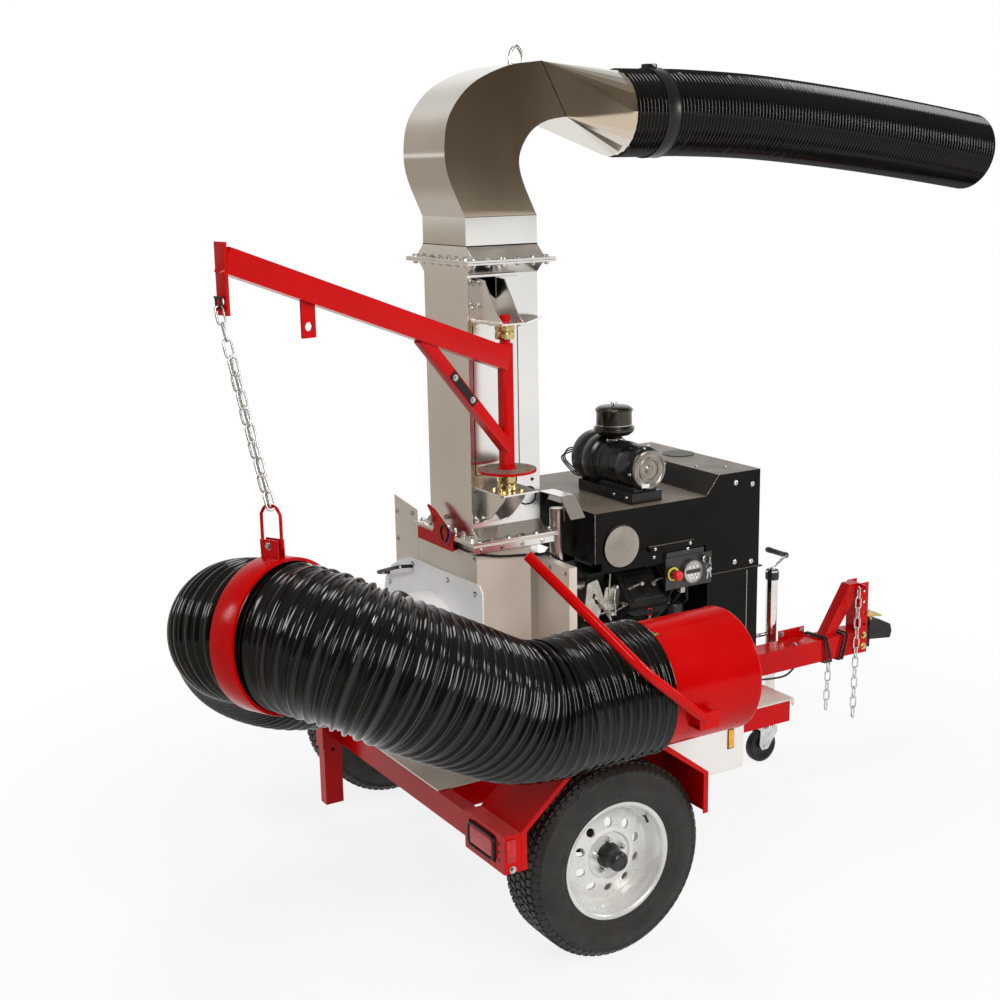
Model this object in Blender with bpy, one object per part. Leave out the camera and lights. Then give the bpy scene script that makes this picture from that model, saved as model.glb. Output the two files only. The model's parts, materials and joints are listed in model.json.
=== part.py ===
"""Tow-behind leaf loader: a trailer blower with an intake hose on a swinging boom
and a discharge elbow that turns on top of a square duct. +X is forward, +Z is up."""

import math

import bmesh
import bpy
from mathutils import Matrix, Vector

# Gaps between separate pieces
GAP = 0.0003

# Wheels, axle and frame
WHEEL_R = 0.344
TYRE_WIDTH = 0.205
TRACK = 1.636
RIM_LIP_R = 0.2085
BEAD_R = 0.193
AXLE_SIZE = 0.063
HUB_IN = 0.070
RAIL_WIDTH = 0.050
RAIL_HEIGHT = 0.092
FRAME_REAR = -0.365
FRAME_FRONT = 1.285
RAIL_BOTTOM = WHEEL_R + AXLE_SIZE / 2 + GAP
RAIL_TOP = RAIL_BOTTOM + RAIL_HEIGHT
DECK_THICKNESS = 0.006
DECK_HALF = 0.325
RAIL_Y = DECK_HALF - 0.035
DECK_BOTTOM = RAIL_TOP + GAP
DECK_TOP = DECK_BOTTOM + DECK_THICKNESS
TONGUE_SIZE = 0.100
TONGUE_REAR = 0.300
TONGUE_FRONT = 1.930
TONGUE_BOTTOM = DECK_TOP + GAP
TONGUE_TOP = TONGUE_BOTTOM + TONGUE_SIZE
HITCH_TOP = TONGUE_TOP + 0.2156
HITCH_HALF = 0.040
HITCH_SHEET = 0.008
JACK_PLATE_HIGH = 0.0436

# Fenders
FENDER_INNER = TRACK / 2 - 0.118
FENDER_OUTER = TRACK / 2 + 0.132
FENDER_TOP = 2 * WHEEL_R + 0.054
FENDER_REAR = -WHEEL_R - 0.062
FENDER_FRONT = WHEEL_R + 0.001
FENDER_SHEET = 0.004
FENDER_LIP = 0.020
TAIL_REAR = FENDER_REAR - 0.064
TAIL_LOW = 0.440
TAIL_HIGH = 0.571

# Blower and duct
DUCT_CENTRE = Vector((0.040, 0.0, 0.0))
DUCT_X = 0.290
DUCT_Y = 0.310
SHEET = 0.004
DUCT_HIGH = 2.300
FLARE = 0.052
FLARE_HEIGHT = 0.045
FLANGE_X = 0.360
FLANGE_Y = 0.450
FLANGE_T = 0.008
HOUSING_REAR = -0.105
HOUSING_FRONT = 0.150
AXIS_Y = 0.130
AXIS_Z = 0.850
SCROLL_R = 0.316
HOUSING_TOP = 1.3085
BULKHEAD_HALF = 0.395
BULKHEAD_TOP = 1.220
BULKHEAD_DEPTH = 0.035
DOOR_X = -0.1095
COLLAR_END = -0.240
INLET_R = 0.205
IMPELLER_R = 0.270

# Elbow and discharge hose
ELBOW_LOW = DUCT_HIGH + 2 * FLANGE_T + GAP
ELBOW_BASE = 2.452
OUTLET_X = 0.600
OUTLET_Z = 2.805
OUTLET_R = 0.155
DISCHARGE_R = 0.160
SPIGOT = 0.030
HOSE_START = OUTLET_X + SPIGOT + GAP
CLAMP_X = 0.760
DISCHARGE_PATH = ((HOSE_START, 0.0, OUTLET_Z), (0.790, 0.0, OUTLET_Z), (0.950, 0.0, OUTLET_Z),
                  (1.300, 0.0, 2.789), (1.750, 0.0, 2.745), (2.150, 0.0, 2.695), (2.520, 0.0, 2.643))

# Boom, band and nozzle
POST = Vector((-0.030, -0.280, 0.0))
POST_SIZE = 0.040
POST_LOW = 1.590
POST_HIGH = 2.028
DISC_R = 0.104
BOOM_TIP = Vector((-1.106, -0.469, 2.372))
BOOM_HEIGHT = 0.078
BOOM_WIDTH = 0.055
BOOM_ROOT_Z = 1.973
BAND_AT = 0.545
BAND_LENGTH = 0.090
BAND_ROOM = 0.0055
HOSE_R = 0.222
HOSE_RIB = 0.008
HOSE_PATH = ((-0.240, 0.130, 0.850), (-0.460, 0.130, 0.850), (-0.680, 0.130, 0.850),
             (-0.900, 0.035, 0.970), (-1.035, -0.240, 1.150), (-1.130, -0.555, 1.265),
             (-1.045, -0.820, 1.290), (-0.860, -0.975, 1.205), (-0.630, -0.990, 1.085),
             (-0.400, -0.950, 0.966), (-0.180, -0.950, 0.966), (0.040, -0.950, 0.966))
NOZZLE_R = 0.2065
NOZZLE_LENGTH = 0.360
HANDLE_R = 0.0165
HANDLE_PATH = ((0.136, -1.190, 0.909), (-0.103, -1.190, 1.114), (-0.371, -0.950, 1.472))

# Engine, enclosure and control panel
COWL_REAR = 0.295
COWL_STEP = 0.806
TOWER_TOP_REAR = 0.867
TOWER_FRONT = 1.070
COWL_HALF = 0.350
COWL_LOW = 1.200
COWL_TOP = 1.390
SKIRT_LOW = 1.160
TOWER_LOW = 1.080
TOWER_TOP = 1.465
TOWER_BASE_LOW = 0.650
GRILLE = Vector((0.413, 0.0, 1.253))
GRILLE_R = 0.082
VENT = Vector((1.000, 0.073, 0.0))
VENT_R = 0.065
ENGINE_REAR = 0.360
ENGINE_FRONT = 0.770
PANEL_FACE = -0.356
PANEL_FRONT = 0.830
ESTOP = Vector((0.640, 0.0, 1.115))
GAUGE = Vector((0.731, 0.0, 1.111))
KEY = Vector((0.793, 0.0, 1.151))
STEM_R = 0.0080
KEY_SHANK_R = 0.0058

# Exhaust and air cleaner
PIPE = Vector((0.250, -0.165, 0.0))
PIPE_R = 0.026
CLEANER = Vector((0.557, -0.330, 1.518))
PRECLEANER_Y = -0.100
PRECLEANER_LOW = 1.618

# Side tank, drop leg and switch bracket
TANK_NEAR = -0.560
LEG = Vector((-0.407, 0.500, 0.0))
LEG_X = 0.076
LEG_Y = 0.050
LEG_LOW = 0.135
LEG_HIGH = 0.600
SLEEVE_WALL = 0.006
SLEEVE_ROOM = 0.0008
SLEEVE_TOP = RAIL_TOP + 0.032
LEG_HOLE_Z = 0.366
SWITCH_X = -0.145

# Jack
JACK = Vector((1.555, 0.116, 0.0))
JACK_PIVOT_Z = 0.525
JACK_TUBE_R = 0.026
JACK_BORE_R = 0.0232
JACK_LEG_R = 0.0222
JACK_TUBE_LOW = 0.400
JACK_TUBE_TOP = 0.862
SCREW_R = 0.0075
CASTER_R = 0.075
CASTER_TRAIL = 0.045
CROWN_LOW = 0.154
CROWN_TOP = 0.159
LEG_FOOT = 0.168

# Chains and cords
WIRE = 0.0035
LINK_WIDTH = 0.024
LINK_BITE = 0.80
CHAINS = {"right": (-0.068, 1.895, HITCH_TOP - 0.005, 14), "left": (0.068, 1.862, TONGUE_BOTTOM + 0.0256, 8)}
CHAIN_PIN_R = 0.0045
HARNESS_R = 0.0045
HARNESS_GAP = 0.0007
HARNESS_LOOPS = ((1.672, 1.691, 1.708, 1.722), (1.700, 1.706, 1.722, 1.752),
                 (1.745, 1.812, 1.818, 1.800), (1.785, 1.836, 1.842, 1.822))
CABLE_R = 0.0050

# Sides of a round piece, and a small turn that keeps cutters off the facets' edges
SEG = 24
WHEEL_SIDES = 20
HOSE_SIDES = 12
OFF_GRID = 0.013
STEPS = 3


# Scene and materials

def clear_scene():
    for item in list(bpy.data.objects):
        bpy.data.objects.remove(item, do_unlink=True)


def make_material(name, colour, roughness, metallic):
    material = bpy.data.materials.new(name)
    material.use_nodes = True
    shader = material.node_tree.nodes["Principled BSDF"]
    shader.inputs["Base Color"].default_value = (*colour, 1.0)
    shader.inputs["Roughness"].default_value = roughness
    shader.inputs["Metallic"].default_value = metallic
    return material


COLOURS = {
    "red": ((0.60, 0.010, 0.012), 0.35, 0.0),
    "stainless": ((0.55, 0.52, 0.47), 0.35, 0.9),
    "zinc": ((0.62, 0.62, 0.60), 0.35, 0.9),
    "yellow_zinc": ((0.60, 0.50, 0.25), 0.40, 0.8),
    "black": ((0.012, 0.012, 0.012), 0.40, 0.0),
    "rubber": ((0.020, 0.020, 0.020), 0.60, 0.0),
    "tyre": ((0.030, 0.028, 0.025), 0.80, 0.0),
    "white": ((0.80, 0.80, 0.78), 0.40, 0.0),
    "rim": ((0.70, 0.70, 0.68), 0.35, 0.3),
    "aluminium": ((0.50, 0.50, 0.50), 0.45, 0.8),
    "lens_red": ((0.70, 0.02, 0.03), 0.15, 0.0),
    "lens_amber": ((0.90, 0.35, 0.02), 0.20, 0.0),
    "iron": ((0.10, 0.10, 0.10), 0.55, 0.5),
    "gold": ((0.65, 0.45, 0.15), 0.35, 0.9),
}


# Pivots: empties that carry the moving pieces

ROOT = None
PIVOTS = {}


def make_pivot(name, place, parent=None):
    empty = bpy.data.objects.new(name, None)
    bpy.context.scene.collection.objects.link(empty)
    empty.parent = PIVOTS[parent] if parent else ROOT
    base = empty_place(parent) if parent else Vector()
    empty.location = Vector(place) - base
    empty["place"] = tuple(place)
    PIVOTS[name] = empty


def empty_place(name):
    return Vector(PIVOTS[name]["place"])


# Closed meshes made with bmesh

def box(x0, x1, y0, y1, z0, z1):
    mesh = bmesh.new()
    bmesh.ops.create_cube(mesh, size=1.0)
    size = Matrix.Diagonal((x1 - x0, y1 - y0, z1 - z0, 1.0))
    centre = Matrix.Translation(((x0 + x1) / 2, (y0 + y1) / 2, (z0 + z1) / 2))
    bmesh.ops.transform(mesh, matrix=centre @ size, verts=mesh.verts)
    return mesh


def block(centre, size, turn=None):
    mesh = box(-size[0] / 2, size[0] / 2, -size[1] / 2, size[1] / 2, -size[2] / 2, size[2] / 2)
    place = Matrix.Translation(centre)
    if turn is not None:
        place = place @ turn.to_4x4()
    bmesh.ops.transform(mesh, matrix=place, verts=mesh.verts)
    return mesh


def rod(start, end, radius, end_radius=None, sides=SEG):
    start, end = Vector(start), Vector(end)
    mesh = bmesh.new()
    bmesh.ops.create_cone(mesh, cap_ends=True, segments=sides, radius1=radius,
                          radius2=radius if end_radius is None else end_radius,
                          depth=(end - start).length)
    turn = (end - start).to_track_quat("Z", "Y").to_matrix().to_4x4()
    bmesh.ops.transform(mesh, matrix=Matrix.Translation((start + end) / 2) @ turn, verts=mesh.verts)
    return mesh


def bar(start, end, width, height, up=(0, 0, 1)):
    start, end = Vector(start), Vector(end)
    along = (end - start).normalized()
    side = Vector(up).cross(along).normalized()
    over = along.cross(side)
    turn = Matrix((along, side, over)).transposed()
    return block((start + end) / 2, ((end - start).length, width, height), turn)


def plate(outline, low, high, axis="X"):
    mesh = bmesh.new()
    corners = []
    for a, b in outline:
        corner = {"X": (low, a, b), "Y": (a, low, b), "Z": (a, b, low)}[axis]
        corners.append(mesh.verts.new(corner))
    face = mesh.faces.new(corners)
    step = {"X": (high - low, 0, 0), "Y": (0, high - low, 0), "Z": (0, 0, high - low)}[axis]
    made = bmesh.ops.extrude_face_region(mesh, geom=[face])
    moved = [item for item in made["geom"] if isinstance(item, bmesh.types.BMVert)]
    bmesh.ops.translate(mesh, vec=step, verts=moved)
    bmesh.ops.recalc_face_normals(mesh, faces=mesh.faces)
    return mesh


def turned(profile, centre, axis="Y", sides=SEG):
    """Turn a closed outline of (radius, along) points round an axis through centre."""
    along = {"X": Vector((1, 0, 0)), "Y": Vector((0, 1, 0)), "Z": Vector((0, 0, 1))}[axis]
    first = {"X": Vector((0, 1, 0)), "Y": Vector((0, 0, 1)), "Z": Vector((1, 0, 0))}[axis]
    second = along.cross(first)
    mesh = bmesh.new()
    rings = []
    for index in range(sides):
        angle = math.tau * index / sides
        out = first * math.cos(angle) + second * math.sin(angle)
        rings.append([mesh.verts.new(Vector(centre) + out * r + along * a) for r, a in profile])
    for index in range(sides):
        here, there = rings[index], rings[(index + 1) % sides]
        for k in range(len(profile)):
            nxt = (k + 1) % len(profile)
            mesh.faces.new((here[k], here[nxt], there[nxt], there[k]))
    bmesh.ops.recalc_face_normals(mesh, faces=mesh.faces)
    return mesh


def spline(points, steps, tangents=None):
    """Smooth curve through the points: Hermite spans with even steps along each."""
    points = [Vector(p) for p in points]
    slopes = []
    for i, point in enumerate(points):
        before, after = points[max(i - 1, 0)], points[min(i + 1, len(points) - 1)]
        slopes.append((after - before) / (1 if i in (0, len(points) - 1) else 2))
    if tangents:
        slopes[0] = Vector(tangents[0]) * slopes[0].length
        slopes[-1] = Vector(tangents[1]) * slopes[-1].length
    out = []
    for i in range(len(points) - 1):
        for k in range(steps):
            t = k / steps
            out.append(hermite(points[i], points[i + 1], slopes[i], slopes[i + 1], t))
    out.append(points[-1])
    return out


def hermite(a, b, slope_a, slope_b, t):
    return (a * (2 * t**3 - 3 * t**2 + 1) + slope_a * (t**3 - 2 * t**2 + t)
            + b * (-2 * t**3 + 3 * t**2) + slope_b * (t**3 - t**2))


def even(points, count):
    """The same curve as count points at equal distances."""
    lengths = [0.0]
    for a, b in zip(points, points[1:]):
        lengths.append(lengths[-1] + (b - a).length)
    out = []
    k = 0
    for index in range(count):
        goal = lengths[-1] * index / (count - 1)
        while k < len(points) - 2 and lengths[k + 1] < goal:
            k += 1
        span = lengths[k + 1] - lengths[k]
        out.append(points[k].lerp(points[k + 1], (goal - lengths[k]) / span))
    return out


def frames(points):
    """Tangent, side and over vectors carried along the points without twist."""
    out = []
    side = None
    for i, point in enumerate(points):
        along = (points[min(i + 1, len(points) - 1)] - points[max(i - 1, 0)]).normalized()
        if side is None:
            side = along.cross(Vector((0, 0, 1)))
            if side.length < 0.1:
                side = along.cross(Vector((0, 1, 0)))
        side = (side - along * side.dot(along)).normalized()
        out.append((point, along, side, along.cross(side)))
    return out


def ring_on(mesh, frame, radius, sides, shift=0.0):
    point, along, side, over = frame
    ring = []
    for k in range(sides):
        angle = math.tau * k / sides
        out = side * math.cos(angle) + over * math.sin(angle)
        ring.append(mesh.verts.new(point + along * shift + out * radius))
    return ring


def bridge(mesh, ring_a, ring_b):
    count = len(ring_a)
    for k in range(count):
        mesh.faces.new((ring_a[k], ring_a[(k + 1) % count], ring_b[(k + 1) % count], ring_b[k]))


def tube(points, radius, sides=8, closed=False):
    mesh = bmesh.new()
    if closed:
        return closed_tube(mesh, points, radius, sides)
    rings = [ring_on(mesh, frame, radius, sides) for frame in frames(points)]
    for a, b in zip(rings, rings[1:]):
        bridge(mesh, a, b)
    mesh.faces.new(reversed(rings[0]))
    mesh.faces.new(rings[-1])
    bmesh.ops.recalc_face_normals(mesh, faces=mesh.faces)
    return mesh


def closed_tube(mesh, points, radius, sides):
    """A flat closed loop of tube, such as a chain link."""
    count = len(points)
    centre = sum(points, Vector()) / count
    normal = (points[0] - centre).cross(points[count // 4] - centre).normalized()
    rings = []
    for i, point in enumerate(points):
        along = (points[(i + 1) % count] - points[i - 1]).normalized()
        rings.append(ring_on(mesh, (point, along, along.cross(normal), normal), radius, sides))
    for i in range(count):
        bridge(mesh, rings[i], rings[(i + 1) % count])
    bmesh.ops.recalc_face_normals(mesh, faces=mesh.faces)
    return mesh


def ribbed_hose(points, radius, depth, ribs, wall, bore_rings):
    """A hose with rounded ribs outside, each two rings of unlike radius, and a plain bore."""
    sides = HOSE_SIDES
    mesh = bmesh.new()
    outer = []
    places = frames(even(points, 2 * ribs))
    for index, frame in enumerate(places):
        outer.append(ring_on(mesh, frame, radius if index % 2 else radius - depth, sides))
    bore = []
    for index in range(bore_rings):
        frame = places[round(index * (len(places) - 1) / (bore_rings - 1))]
        bore.append(ring_on(mesh, frame, radius - depth - wall, sides))
    for rings in (outer, bore):
        for a, b in zip(rings, rings[1:]):
            bridge(mesh, a, b)
    bridge(mesh, outer[0], bore[0])
    bridge(mesh, outer[-1], bore[-1])
    bmesh.ops.recalc_face_normals(mesh, faces=mesh.faces)
    return mesh


# Nodes

MATERIALS = {}
BUILT = []


def link_mesh(name, mesh, pivot):
    if pivot:
        bmesh.ops.translate(mesh, vec=-empty_place(pivot), verts=mesh.verts)
    data = bpy.data.meshes.new(name)
    mesh.to_mesh(data)
    mesh.free()
    item = bpy.data.objects.new(name, data)
    bpy.context.scene.collection.objects.link(item)
    item.parent = PIVOTS[pivot] if pivot else ROOT
    return item


def node(name, colour, base, add=(), cut=(), join=(), pivot=None, smooth=False):
    """One closed sub-part: a base mesh, pieces added, cutters taken away, pieces joined last."""
    item = link_mesh(name, base, pivot)
    if colour not in MATERIALS:
        MATERIALS[colour] = make_material(colour, *COLOURS[colour])
    own = MATERIALS[colour].copy()
    own.name = name
    item.data.materials.append(own)
    for label, operation, pieces in (("add", "UNION", add), ("cut", "DIFFERENCE", cut), ("join", "UNION", join)):
        for index, piece in enumerate(pieces):
            helper = link_mesh(f"{name}_{label}_{index}", piece, pivot)
            helper.hide_render = True
            helper.display_type = "WIRE"
            change = item.modifiers.new(helper.name, "BOOLEAN")
            change.operation = operation
            change.solver = "EXACT"
            change.object = helper
    if smooth:
        item.data.shade_smooth()
        item.data.set_sharp_from_angle(angle=math.radians(40))
    BUILT.append(item)
    return item


def cord(name, colour, points, radius, roundness=2):
    """A flexible lead: one curve with a round section and closed ends."""
    data = bpy.data.curves.new(name, "CURVE")
    data.dimensions = "3D"
    data.bevel_depth = radius
    data.bevel_resolution = roundness
    data.use_fill_caps = True
    data.render_resolution_u = 0
    line = data.splines.new("POLY")
    line.points.add(len(points) - 1)
    for place, point in zip(line.points, points):
        place.co = (*point, 1.0)
    item = bpy.data.objects.new(name, data)
    bpy.context.scene.collection.objects.link(item)
    item.parent = ROOT
    own = make_material(name, *COLOURS[colour])
    data.materials.append(own)


# Frame, deck, axle and tongue

def make_frame():
    half = RAIL_WIDTH / 2
    wide = FENDER_INNER - GAP
    pieces = [box(FRAME_REAR, FRAME_FRONT, -RAIL_Y - half, -RAIL_Y + half, RAIL_BOTTOM, RAIL_TOP)]
    for x0 in (0.240, FRAME_FRONT - RAIL_WIDTH):
        pieces.append(box(x0, x0 + RAIL_WIDTH, -RAIL_Y, RAIL_Y, RAIL_BOTTOM, RAIL_TOP))
    pieces.append(box(FRAME_REAR, FRAME_REAR + RAIL_WIDTH, -wide, wide, RAIL_BOTTOM, RAIL_TOP))
    base = box(FRAME_REAR, FRAME_FRONT, RAIL_Y - half, RAIL_Y + half, RAIL_BOTTOM, RAIL_TOP)
    reach_x = LEG_X / 2 + SLEEVE_ROOM
    reach_y = LEG_Y / 2 + SLEEVE_ROOM
    pieces.append(box(LEG.x - reach_x - SLEEVE_WALL, FRAME_REAR + 0.001, LEG.y - reach_y - SLEEVE_WALL,
                      LEG.y + reach_y + SLEEVE_WALL, RAIL_BOTTOM, SLEEVE_TOP))
    bore = box(LEG.x - reach_x, LEG.x + reach_x, LEG.y - reach_y, LEG.y + reach_y, RAIL_BOTTOM - 0.05,
               SLEEVE_TOP + 0.05)
    node("chassis_frame", "red", base, add=pieces, cut=[bore])
    gussets = []
    for side in (-1, 1):
        y0, y1 = sorted((side * DECK_HALF, side * (DECK_HALF - DECK_THICKNESS)))
        outline = [(FRAME_FRONT + GAP, DECK_BOTTOM + 0.001), (1.300, DECK_BOTTOM + 0.001),
                   (1.300, DECK_BOTTOM - 0.018), (1.292, DECK_BOTTOM - 0.026)]
        gussets.append(plate(outline, y0, y1, "Y"))
    node("deck_plate", "stainless", box(FRAME_REAR, 1.300, -DECK_HALF, DECK_HALF, DECK_BOTTOM, DECK_TOP),
         add=gussets)


def make_axle():
    half = AXLE_SIZE / 2
    reach = TRACK / 2 - 0.145
    base = box(-half, half, -reach, reach, WHEEL_R - half, WHEEL_R + half)
    spindles = []
    for side in (-1, 1):
        flange = reach + 0.012
        shoulder = TRACK / 2 - HUB_IN - GAP
        for start, end, radius in ((reach - 0.01, flange, 0.058), (reach, shoulder, 0.030),
                                   (reach, TRACK / 2 - 0.030, 0.0215)):
            spindles.append(rod((0, side * start, WHEEL_R), (0, side * end, WHEEL_R), radius, sides=12))
    node("axle", "black", base, add=spindles, smooth=True)


def make_tongue():
    half = TONGUE_SIZE / 2
    sunk = 0.002
    foot = TONGUE_TOP - sunk
    tip = TONGUE_FRONT + sunk
    brace = [(1.738, foot), (1.800, foot), (tip, HITCH_TOP - 0.048), (tip, HITCH_TOP), (1.880, HITCH_TOP)]
    low = TONGUE_BOTTOM - 0.008
    web = TONGUE_FRONT + HITCH_SHEET
    add = [plate(brace, -0.0250, 0.0250, "Y"),
           box(TONGUE_FRONT - sunk, web, -HITCH_HALF, HITCH_HALF, low, HITCH_TOP)]
    for side in (-1, 1):
        y0, y1 = sorted((side * HITCH_HALF, side * (HITCH_HALF - 0.007)))
        add.append(box(TONGUE_FRONT, web + 0.044, y0, y1, low, HITCH_TOP))
    add.append(box(1.538, 1.682, half - 0.008, half, foot, TONGUE_TOP + JACK_PLATE_HIGH))
    add += chain_pins()
    holes = []
    for step in range(6):
        place = Vector((web + 0.024, 0, low + 0.030 + 0.051 * step))
        holes.append(rod(place - Vector((0, 0.06, 0)), place + Vector((0, 0.06, 0)), 0.0085, sides=6))
    node("tongue_frame", "red", box(TONGUE_REAR, TONGUE_FRONT, -half, half, TONGUE_BOTTOM, TONGUE_TOP),
         add=add, cut=holes)
    return web


def chain_pins():
    """Lugs with a pin each: the right one on the hitch plate, the left one on the tongue's side."""
    out = []
    for name, lug, side in (("right", 1.9325, 0.036), ("left", 1.847, 0.048)):
        y, x, high, _ = CHAINS[name]
        pin = high - CHAIN_PIN_R - 0.0003
        y0, y1 = sorted((math.copysign(side, y), y * 1.12))
        out.append(box(lug - 0.004, lug + 0.004, y0, y1, pin - 0.012, pin + 0.009))
        tip = x + math.copysign(0.014, x - lug)
        out.append(rod((lug, y, pin), (tip, y, pin), CHAIN_PIN_R, sides=6))
    return out


def make_coupler(channel_x):
    back = channel_x + GAP
    node("coupler_body", "black",
         box(back, back + 0.070, -0.0326, 0.0326, 0.484, 0.612),
         add=[plate([(back + 0.060, 0.520), (back + 0.060, 0.610), (back + 0.120, 0.604),
                     (back + 0.190, 0.570), (back + 0.200, 0.535), (back + 0.190, 0.505)], -0.038, 0.038, "Y")],
         cut=[rod((back + 0.145, 0, 0.480), (back + 0.145, 0, 0.555), 0.026, sides=14)])
    hinge = (back + 0.064, 0, 0.619)
    make_pivot("coupler_hinge", hinge)
    node("coupler_latch", "gold",
         plate([(back + 0.064, 0.6124), (back + 0.0585, 0.6155), (back + 0.0585, 0.6225), (back + 0.070, 0.634),
                (back + 0.100, 0.640), (back + 0.160, 0.612), (back + 0.158, 0.605), (back + 0.110, 0.6124)],
               -0.014, 0.014, "Y"), pivot="coupler_hinge")


# Fenders and lamps

def fender_profile(shift):
    """Outer line of the sheet in X and Z, moved inwards by shift."""
    inner = shift * math.tan(math.radians(24))
    return [(FENDER_REAR + shift, TAIL_LOW), (FENDER_REAR + shift, TAIL_HIGH - inner / 2),
            (-0.207 + inner / 2, FENDER_TOP - shift), (0.158 - inner / 2, FENDER_TOP - shift),
            (FENDER_FRONT - shift, 0.600 - inner / 2), (FENDER_FRONT - shift, 0.451)]


def fender_opening(shift, side, near, far):
    """Cutter with the sheet's inner line, open downwards, between two distances from the middle."""
    line = fender_profile(shift)
    line[0] = (line[0][0], 0.300)
    line[-1] = (line[-1][0], 0.300)
    return plate(line, *sorted((side * near, side * far)), "Y")


def make_fender(name, side):
    y0, y1 = sorted((side * FENDER_INNER, side * FENDER_OUTER))
    shell = plate(fender_profile(0), y0, y1, "Y")
    hollow = fender_opening(FENDER_SHEET, side, FENDER_INNER + FENDER_SHEET, FENDER_OUTER - FENDER_SHEET)
    mouth = fender_opening(FENDER_LIP, side, FENDER_OUTER - 2 * FENDER_SHEET, FENDER_OUTER + 0.020)
    lamp_box = box(TAIL_REAR, FENDER_REAR + 0.002, y0 + 0.001, y1 - 0.001, TAIL_LOW, TAIL_HIGH - 0.001)
    middle = side * (FENDER_INNER + 0.112)
    recess = box(TAIL_REAR - 0.01, TAIL_REAR + 0.030, middle - 0.084, middle + 0.084, 0.462, 0.552)
    lug_x = TAIL_REAR + 0.030
    lug = rod((lug_x, side * (FENDER_OUTER - 0.02), 0.452), (lug_x, side * (FENDER_OUTER + 0.01), 0.452),
              0.007, sides=8)
    node(f"fender_{name}", "red", shell, add=[lamp_box], cut=[hollow, mouth, recess, lug])
    make_lamp(name, middle)


def make_lamp(name, middle):
    node(f"tail_lamp_{name}", "lens_red",
         box(TAIL_REAR - 0.008, TAIL_REAR + 0.0297, middle - 0.0837, middle + 0.0837, 0.4623, 0.5517))


# Wheels

def tyre_profile():
    half = TYRE_WIDTH / 2
    seat = BEAD_R + GAP
    outer = [(seat, 0.080), (BEAD_R + 0.020, 0.083), (0.265, half), (WHEEL_R - 0.028, 0.094), (WHEEL_R, 0.060)]
    inner = [(WHEEL_R - 0.014, 0.056), (0.275, 0.089)]
    ring = outer + [(r, -a) for r, a in reversed(outer)]
    return ring + [(seat, -0.064)] + [(r, -a) for r, a in reversed(inner)] + inner + [(seat, 0.064)]


def rim_profile(out):
    """Barrel, two lips and a dished disc; out is -1 when the disc's face looks to the right."""
    seat = BEAD_R - GAP
    line = [(RIM_LIP_R, 0.086), (seat, 0.0806), (0.170, 0.008), (0.170, -0.035), (seat, -0.0806),
            (RIM_LIP_R, -0.086), (seat - 0.007, -0.079), (0.164, -0.038), (0.164, 0.004), (0.085, 0.032),
            (0.072, 0.020), (0.044, 0.020), (0.044, 0.026), (0.070, 0.026), (0.083, 0.038), (0.166, 0.012),
            (seat - 0.007, 0.079)]
    return [(r, out * a) for r, a in line]


def around(centre, radius, count, turn):
    """Places at equal steps on a circle about the wheel's axis."""
    out = []
    for step in range(count):
        angle = math.tau * step / count + turn
        out.append(centre + Vector((math.cos(angle) * radius, 0, math.sin(angle) * radius)))
    return out


def make_wheel(name, side):
    centre = Vector((0, side * TRACK / 2, WHEEL_R))
    pivot = f"wheel_{name}"
    make_pivot(pivot, centre)
    node(f"tyre_{name}", "tyre", turned(tyre_profile(), centre, "Y", WHEEL_SIDES), pivot=pivot, smooth=True)
    across = Vector((0, 0.06, 0))
    vents = [rod(at - across, at + across, 0.0153, sides=6)
             for at in around(centre, 0.1187, 10, math.tau / 20 + OFF_GRID)]
    rim = turned(rim_profile(side), centre, "Y", WHEEL_SIDES)
    node(f"rim_{name}", "rim", rim, cut=vents, pivot=pivot, smooth=True)
    profile = [(0.0235, -HUB_IN), (0.048, -HUB_IN), (0.066, -0.010), (0.066, 0.020 - GAP), (0.0435, 0.020 - GAP),
               (0.0435, 0.045), (0.034, 0.062), (0.0235, 0.064)]
    hub = turned([(r, side * a) for r, a in profile], centre, "Y", 12)
    cap = [(0.0, side * 0.060), (0.0345, side * 0.060), (0.0345, side * 0.100), (0.028, side * 0.108),
           (0.0, side * 0.108)]
    node(f"hub_{name}", "iron", hub, add=[turned_solid(cap, centre, 12)], pivot=pivot, smooth=True)


def turned_solid(profile, centre, sides, axis="Y"):
    """A turned piece whose outline starts and ends on the axis."""
    mesh = turned(profile, centre, axis, sides)
    bmesh.ops.remove_doubles(mesh, verts=mesh.verts, dist=1e-6)
    loose = [face for face in mesh.faces if face.calc_area() < 1e-12]
    bmesh.ops.delete(mesh, geom=loose, context="FACES")
    bmesh.ops.recalc_face_normals(mesh, faces=mesh.faces)
    return mesh


# Blower housing, bulkhead, inlet door and impeller

def scroll_outline(radius, inset, top):
    """Round casing about the impeller with a straight neck up to the duct, as (Y, Z) points."""
    near = AXIS_Y - radius
    far = DUCT_Y / 2 - inset
    end = math.acos((far - AXIS_Y) / radius)
    outline = [(near, top), (near, AXIS_Z)]
    for step in range(1, 16):
        angle = math.pi + (math.pi + end) * step / 15
        outline.append((AXIS_Y + radius * math.cos(angle), AXIS_Z + radius * math.sin(angle)))
    outline.append((far, top))
    return outline


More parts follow.
